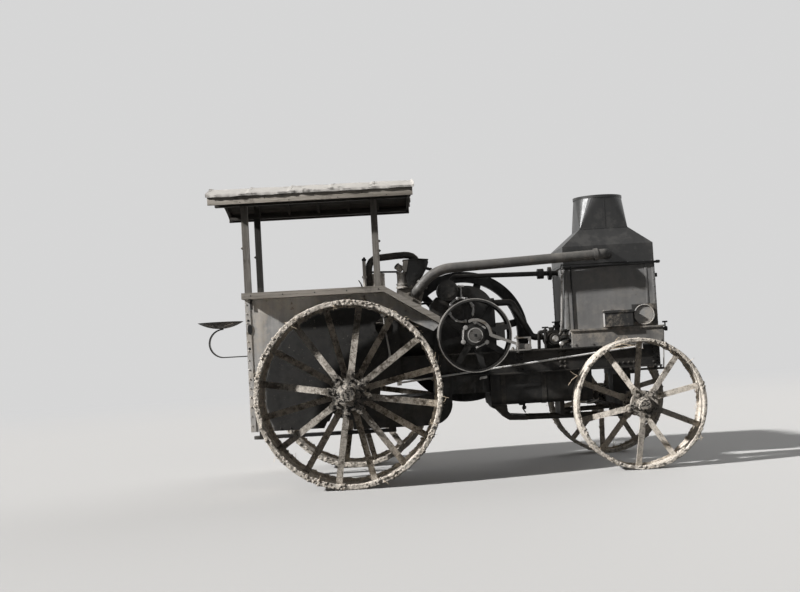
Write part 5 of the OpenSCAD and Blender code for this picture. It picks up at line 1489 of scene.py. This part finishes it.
@dataclass
class Drive:
    """Bright fittings of the crank, its pulley and clutch."""

    link_y: float = -0.9445
    tip_y: float = -1.008

    def spot(self, radius: float, angle_deg: float, y: float) -> Vector:
        """Give a place about the crank's axis."""
        return on_circle(CRANK, radius, math.radians(angle_deg), y)

    def build(self, shop: Shop) -> None:
        """Build links, pins, the shaft's square and the nuts."""
        x, z = CRANK
        bright = Stock("clutch_links", "bright_edge", "crank")
        for turn in (55, 175, 295):
            near, far = self.spot(0.111, turn - 24, self.link_y), self.spot(0.111, turn + 22, self.link_y)
            bright.tube([near, near.lerp(far, 0.5), far], [0.010, 0.0085, 0.010])
            pin = self.spot(0.1185, turn + 31.5, -0.946)
            bright.turned(pin, pin + Vector((0, -0.012, 0)), [(0, 0.020), (0.3, 0.021), (0.8, 0.019), (1, 0.012)])
        head = self.spot(0.108, 138, -0.915)
        bright.turned(head, head + Vector((0, -0.041, 0)),
                      [(0, 0.010), (0.7, 0.010), (0.72, 0.021), (0.95, 0.020), (1, 0.012)])
        bright.tube([self.spot(0.108, 138, -0.93), self.spot(0.113, 156, -0.935)], 0.009)
        bright.ring((x, -0.9845, z), (0, 1, 0), 0.062, 0.004)
        bright.build(shop)
        square = Stock("crank_square", "soot", "crank")
        square.box((x - 0.012, self.tip_y - 0.003, z - 0.012), (x + 0.012, self.tip_y + 0.001, z + 0.012))
        square.build(shop)
        nuts = Fasteners("crank_nuts", Head.NUT, 0.024, "pulley_iron", "crank")
        nuts.circle((x, -0.924, z), 0.086, 6, (0, -1, 0), 25)
        nuts.circle((x, 0.5405, z), 0.12, 8, (0, 1, 0))
        nuts.build(shop)
        clevis = Fasteners("clevis_bolts", Head.NUT, 0.030, "bare_steel")
        for z in (1.128, 1.200):
            clevis.at((0.735, -0.993, z), (0, -1, 0))
        for x in (0.66, 0.76):
            clevis.at((x, -0.338, 1.112), (0, 0, 1))
        clevis.build(shop)


@dataclass
class Tower:
    """Rods, pipes, seams, rivets and taps of the cooling tower."""

    rear: float = 1.176
    front: float = 2.026
    half: float = 0.350
    pan_top: float = 1.265
    top: float = 1.850
    rivet_z: float = 1.872
    pan_z: float = 1.125
    plate: tuple[float, float] = (1.901, 1.369)
    tap_y: float = -0.335
    valve_y: float = -0.245

    def build(self, shop: Shop) -> None:
        """Build them all."""
        self.seams(shop)
        self.fasteners(shop)
        self.blank_plate(shop)
        self.rods(shop)
        self.pump(shop)

    def seams(self, shop: Shop) -> None:
        """Build the corner strips, the seam of the stack and the edge of the cowl."""
        strips = Stock("tower_strips", "tower_paint")
        cowl = Stock("stack_seam", "cowl_paint")
        for side in (RIGHT, LEFT):
            y = side * self.half
            for x in (self.rear, self.front - 0.026):
                strips.box((x, min(y, y + side * 0.003), self.pan_top + 0.002),
                           (x + 0.026, max(y, y + side * 0.003), self.top))
            foot = self.pan_top + 0.21 if side == RIGHT else self.pan_top
            strips.box((self.front - 0.092, min(y, y + side * 0.004), foot),
                       (self.front - 0.072, max(y, y + side * 0.004), self.top))
            # Start and end along, place and half depth across, foot and top, eased edge
            for x0, x1, y, deep, low, high, edge in ((0.010, 0.021, 0.2275, 0.0015, 2.215, 2.50, 0.0008),
                                                     (-0.226, 0.226, 0.228, 0.004, 2.205, 2.214, 0.002)):
                cowl.box((TOWER_X + x0, side * y - deep, low), (TOWER_X + x1, side * y + deep, high), edge)
        for x, way in ((self.rear, -1), (self.front, 1)):
            for y in (-0.324, 0.324):
                strips.box((min(x, x + way * 0.003), y - 0.026, self.pan_top + 0.002),
                           (max(x, x + way * 0.003), y + 0.026, self.top))
        strips.build(shop)
        cowl.build(shop)

    def fasteners(self, shop: Shop) -> None:
        """Rivet body and cowl, bolt the pan and the plate's ring."""
        rivets = Fasteners("tower_rivets", Head.RIVET, 0.011, "tower_paint")
        small = Fasteners("cowl_rivets", Head.RIVET, 0.010, "cowl_paint")
        pan = Fasteners("pan_bolts", Head.BOLT, 0.020, "pan_paint")
        low, high = self.pan_top + 0.03, self.top - 0.02
        for side in (RIGHT, LEFT):
            out = (0, side, 0)
            for x in (self.rear + 0.013, self.front - 0.013):
                rivets.row((x, side * 0.353, low), (x, side * 0.353, high), 0.07, out)
            small.row((self.rear + 0.02, side * self.half, self.rivet_z),
                      (self.front - 0.02, side * self.half, self.rivet_z), 0.075, out)
            pan.row((1.24, side * 0.365, self.pan_z), (2.04, side * 0.365, self.pan_z), 0.16, out)
        for x, way in ((self.rear, -1), (self.front, 1)):
            for y in (-0.337, 0.337):
                rivets.row((x + way * 0.003, y, low), (x + way * 0.003, y, high), 0.07, (way, 0, 0))
            small.row((x, -0.33, self.rivet_z), (x, 0.33, self.rivet_z), 0.075, (way, 0, 0))
        for x, way in ((1.216, -1), (2.066, 1)):
            pan.row((x, -0.32, self.pan_z), (x, 0.32, self.pan_z), 0.16, (way, 0, 0))
        small.circle((self.plate[0], -0.374, self.plate[1]), 0.091, 6, (0, -1, 0), 30)
        for piece in (rivets, small, pan):
            piece.build(shop)

    def blank_plate(self, shop: Shop) -> None:
        """Build the round blank plate with its ring, and pale strips of painted highlight along the top and rear edges
        of the box beside it.
        """
        plate, (x, z) = Stock("blank_plate", "pale_plate"), self.plate
        plate.turned((x, -0.3655, z), (x, -0.3675, z), [(0, 0.0825), (1, 0.0825)], 48)
        plate.ring((x, -0.374, z), (0, 1, 0), 0.091, 0.006, 56)
        # Painted highlight: pale strips on the box's top and rear edges stand for those edges lit.
        plate.box((1.519, -0.4145, 1.4195), (1.785, -0.349, 1.4255), 0.001)
        plate.box((1.518, -0.4140, 1.274), (1.5225, -0.349, 1.420), 0.001)
        plate.build(shop)

    def rods(self, shop: Shop) -> None:
        """Build the rods of the shutter, the pan's tap and the pale pipe."""
        dark, tap = Stock("tower_rods", "soot"), self.tap_y
        dark.tube(at_y(-0.371, (1.150, 1.872), (1.60, 1.868), (2.078, 1.860)), 0.0065, 8)
        dark.tube(at_y(-0.369, (1.150, 1.832), (1.60, 1.843), (2.070, 1.852)), 0.0065, 8)
        dark.turned((2.040, -0.370, 1.857), (2.072, -0.370, 1.857), [(0, 0.015), (1, 0.015)], 6)
        for x, y in ((1.240, -0.358), (1.190, 0.358)):
            dark.tube(at_y(y, (x, self.pan_top), (x, self.top)), 0.0055, 8)
        dark.tube(at_y(-0.371, (1.150, 1.871), (1.150, 1.79)), 0.0055, 8)
        dark.box((2.027, -0.350, 1.715), (2.050, -0.320, 1.752), 0.004)
        dark.turned((2.066, tap, 1.228), (2.112, tap, 1.228), [(0, 0.016), (0.5, 0.016), (0.55, 0.022), (1, 0.022)], 12)
        dark.tube(at_y(tap, (2.095, 1.23), (2.095, 1.292)), 0.007, 8)
        dark.tube(at_y(tap, (2.072, 1.292), (2.118, 1.292)), 0.008, 8)
        dark.build(shop)
        pale = Stock("tower_pipe", "bright_edge")
        pale.bent([(1.170, tap, 1.845), (1.160, -0.337, 1.78), (1.128, tap, 1.32), (1.122, -0.30, 1.24),
                   (1.118, -0.16, 1.22)], 0.0095, 0.03)
        pale.build(shop)

    def pump(self, shop: Shop) -> None:
        """Build the pipes, valves and knobs about the coolant pump."""
        valves, y = Stock("pump_valves", "engine_iron"), self.valve_y
        valves.bent([(1.202, -0.300, 1.20), (1.155, -0.300, 1.20), (1.155, -0.235, 1.20), (1.10, -0.20, 1.20)],
                    0.020, 0.03)
        valves.turned((1.155, -0.300, 1.195), (1.155, -0.300, 1.262),
                      [(0, 0.030), (0.4, 0.030), (0.5, 0.018), (1, 0.015)], 14)
        valves.turned((1.155, -0.300, 1.262), (1.155, -0.300, 1.275), [(0, 0.036), (1, 0.036)], 10)
        valves.bent([*at_y(y, (0.985, 1.19), (0.985, 1.262), (0.925, 1.262)), (0.925, -0.20, 1.11)], 0.016, 0.02)
        valves.turned((0.985, y, 1.262), (0.985, y, 1.300), [(0, 0.022), (0.5, 0.022), (0.6, 0.012), (1, 0.010)], 12)
        valves.tube(at_y(y, (0.955, 1.300), (1.015, 1.300)), 0.008, 8)
        valves.turned((1.045, y, 1.268), (1.045, y, 1.300), [(0, 0.024), (1, 0.030)], 12)
        valves.bent([(1.215, -0.25, 1.165), (1.17, -0.30, 1.15), (1.12, -0.30, 1.13), (1.12, -0.30, 1.10)],
                    0.015, 0.02)
        valves.build(shop)
        knobs = Stock("pump_knobs", "bright_edge")
        knobs.turned((1.215, -0.318, 1.245), (1.215, -0.338, 1.245), [(0, 0.012), (0.5, 0.020), (1, 0.012)], 14)
        knobs.tube([(1.215, -0.25, 1.245), (1.215, -0.322, 1.245)], 0.007, 8)
        knobs.turned((1.120, -0.316, 1.140), (1.120, -0.336, 1.140), [(0, 0.014), (0.5, 0.024), (1, 0.014)], 14)
        knobs.turned((1.066, -0.3185, 1.19), (1.066, -0.325, 1.19), [(0, 0.030), (1, 0.026)], 18)
        knobs.build(shop)


@dataclass
class Underside:
    """Frame rivets, tank straps, cocks, fuel line and nose rods."""

    web_y: float = 0.3125
    tank_half: float = 0.32
    tank_low: float = 0.60
    tank_r: float = 0.06
    strap_top: float = 0.885
    strap_wide: float = 0.042
    strap_thick: float = 0.005
    fuel_y: float = -0.23
    nose_y: float = -0.343
    drain_x: float = 0.744

    def build(self, shop: Shop) -> None:
        """Build them all."""
        self.fasteners(shop)
        self.straps(shop)
        self.fuel(shop)
        shaft = Fasteners("shaft_nuts", Head.NUT, 0.026, "bare_steel")
        shaft.row((1.745, self.nose_y, 0.872), (1.805, self.nose_y, 0.872), 0.03, (0, 0, 1))
        shaft.build(shop)

    def fasteners(self, shop: Shop) -> None:
        """Rivet the rails and bolt the pedestal, pan and rear bearings."""
        rivets = Fasteners("frame_rivets", Head.RIVET, 0.028, "frame_iron")
        bolts = Fasteners("frame_bolts", Head.NUT, 0.030, "dusty_iron")
        for side in (RIGHT, LEFT):
            y, out = side * self.web_y, (0, side, 0)
            for x in (-1.724, -1.274, 0.723, 1.123, 1.996):
                for dx in (-0.022, 0.022):
                    rivets.row((x + dx, y, 0.925), (x + dx, y, 1.06), 0.045, out)
            for start, end, pitch in ((-0.02, 0.40, 0.07), (1.64, 1.79, 0.05)):
                rivets.row((start, y, 0.93), (end, y, 0.93), pitch, out)
            for x in (1.26, 1.60, 1.98):
                bolts.at((x, side * 0.352, 0.884), (0, 0, -1))
            for dx in (-0.09, 0.09):
                for across in (0.318, 0.358):
                    bolts.at((REAR_AXLE[0] + dx, side * across, 0.898), (0, 0, 1))
        bolts.row((1.655, -0.08, 0.512), (1.757, -0.08, 0.512), 0.1, (0, 0, -1))
        rivets.build(shop)
        bolts.build(shop)

    def strap_line(self, x: float, grow: float) -> list[Vector]:
        """Walk down one side of the tank, under it and up the other."""
        r, y, z = self.tank_r + grow, self.tank_half - self.tank_r, self.tank_low + self.tank_r
        corner = [(y + r * math.cos(a), z - r * math.sin(a)) for a in (math.pi * k / 16 for k in range(9))]
        left = [(self.tank_half + grow, self.strap_top)] + corner
        return [Vector((x, y, z)) for y, z in left + [(-y, z) for y, z in left[::-1]]]

    def straps(self, shop: Shop) -> None:
        """Build the tank's straps with its drain, and the rod under the nose."""
        straps = Stock("tank_straps", "dusty_iron")
        for x in (0.53, 0.91, 1.29):
            outline = self.strap_line(x, 0.0005) + self.strap_line(x, self.strap_thick)[::-1]
            straps.slab(outline, (self.strap_wide, 0, 0), 0.0)
        x = self.drain_x
        straps.bent([(x, -0.24, 0.606), (x, -0.24, 0.545)], 0.012, 0.01)
        straps.turned((x, -0.24, 0.575), (x, -0.24, 0.545), [(0, 0.020), (0.7, 0.020), (1, 0.012)], 12)
        straps.tube([(0.728, -0.258, 0.558), (0.752, -0.262, 0.515)], 0.006, 8)
        straps.turned((0.75, -0.05, 0.60), (0.75, -0.05, 0.575), [(0, 0.035), (1, 0.030)], 16)
        straps.box((1.695, -0.352, 0.852), (2.062, -0.334, 0.872), 0.003)
        for x in (1.700, 2.020):
            straps.box((x, -0.350, 0.87), (x + 0.016, -0.336, 0.887), 0.002)
        straps.build(shop)

    def fuel(self, shop: Shop) -> None:
        """Build the fuel line, the rod at the nose, the tag under the rail and the valve."""
        pale, y = Stock("fuel_line", "bright_edge"), self.fuel_y
        pale.bent([*at_y(y, (1.380, 0.640), (1.425, 0.640), (1.455, 0.600)), (1.36, -0.25, 0.572),
                   (1.20, -0.26, 0.585), (1.20, -0.26, 0.604)], 0.006, 0.03, 8)
        pale.bent(at_y(self.nose_y, (2.052, 0.862), (2.058, 0.90), (2.075, 1.20), (2.070, 1.25)), 0.0065, 0.02, 8)
        pale.turned((1.384, -0.25, 0.705), (1.384, -0.285, 0.700), [(0, 0.010), (0.5, 0.017), (1, 0.010)], 12)
        pale.box((1.382, -0.268, 0.690), (1.396, -0.232, 0.716), 0.002)
        pale.slab(at_y(-0.372, (0.330, 0.848), (0.400, 0.862), (0.402, 0.884), (0.334, 0.874)), (0, -0.004, 0), 0.001)
        pale.build(shop)
        valve = Stock("fuel_valve", "engine_iron")
        valve.turned((1.428, y, 0.665), (1.428, y, 0.600), [(0, 0.012), (0.3, 0.026), (0.7, 0.026), (1, 0.014)], 14)
        valve.tube(at_y(y, (1.384, 0.640), (1.428, 0.640)), 0.012, 10)
        valve.tube(at_y(y, (1.410, 0.672), (1.450, 0.668)), 0.006, 8)
        valve.build(shop)


@dataclass
class Twigs:
    """Long straws caught in the mud of the right front wheel."""

    side_y: float = -0.893

    def build(self, shop: Shop) -> None:
        """Build them."""
        straw = Stock("wheel_twigs", "straw", "front_wheel_right")
        for path in (((1.088, 0.900), (1.115, 0.876)), ((1.063, 0.775), (1.098, 0.822))):
            straw.tube(at_y(self.side_y, *path, (1.150, 0.855)), [0.0012, 0.0022, 0.003], 6)
        straw.tube([(1.50, -0.895, 1.098), (1.56, -0.900, 1.112), (1.66, -0.902, 1.092), (1.75, -0.902, 1.058)],
                   [0.003, 0.0028, 0.0022, 0.0012], 6)
        straw.tube([(1.46, -0.895, 1.07), (1.56, -0.902, 1.085), (1.70, -0.902, 1.10)], [0.003, 0.0025, 0.0015], 6)
        straw.build(shop)


NODE_FINISH = {
    "frame_iron": ["frame_rails", "cross_members", "cab_floor", "drawbar", "fuel_tank", "front_pedestal"],
    "cab_paint": ["cab_sides", "cab_back"],
    "sill_board": ["cab_sills"],
    "post_board": ["roof_posts"],
    "roof_board": ["roof_boards"],
    "roof_felt": ["roof_panel"],
    "engine_iron": ["gear_case", "crankcase", "cylinder_block", "cylinder_head", "carburettor", "intake_pipe",
                    "coolant_pump", "coolant_pipes", "steering_column", "seat_spring"],
    "dusty_iron": ["rear_axle", "front_axle", "radius_rods", "knuckle_right", "knuckle_left", "tie_rod", "seat_pan"],
    "warm_iron": ["manifold_box"],
    "pulley_iron": ["belt_pulley"],
    "flywheel_iron": ["flywheel"],
    "pipe_scale": ["exhaust_pipe"],
    "box_paint": ["tower_boxes"],
    "tower_paint": ["tower_body"],
    "cowl_paint": ["tower_cowl"],
    "pan_paint": ["tower_pan"],
    "bare_steel": ["clutch_bracket"],
    "white_metal": ["steering_shaft"],
    "oiled_steel": ["crankshaft"],
    "rim_mud": ["rear_rim_right", "rear_rim_left", "front_rim_right", "front_rim_left"],
    "rear_spoke_mud": ["rear_hub_right", "rear_hub_left"],
    "front_spoke_mud": ["front_hub_right", "front_hub_left"],
}


def wheels() -> list[RoadWheel]:
    """List the four wheels."""
    rear = {"axle": "rear", "lip": 0.042, "web": 0.014, "spokes": 8, "turn_deg": -9.5, "flange_faces": (1.115, 0.652),
            "bolt_r": (0.128, 0.176), "bolt": 0.030, "around": 460}
    front = {"axle": "front", "lip": 0.028, "web": 0.012, "spokes": 5, "turn_deg": 49.0,
             "flange_faces": (0.980, 0.641), "bolt_r": (0.095, 0.142), "bolt": 0.026, "around": 360, "crust": 0.006}
    return [RoadWheel(hand, seed + shift, **sizes) for seed, hand in ((1, "right"), (2, "left"))
            for shift, sizes in ((0, rear), (2, front))]


def main() -> None:
    """Build the camera, the studio and each sub-assembly in order."""
    logging.basicConfig(level=logging.INFO, format="%(name)s: %(message)s")
    Camera().build()
    Studio().build()
    shop = Shop(FINISHES)
    for finish, nodes in NODE_FINISH.items():
        for node in nodes:
            shop.dress(node, finish)
    for assembly in (*wheels(), Cab(), Roof(), Engine(), Drive(), Tower(), Underside(), Twigs()):
        assembly.build(shop)
        log.info("built %s", type(assembly).__name__)


if __name__ == "__main__":
    main()
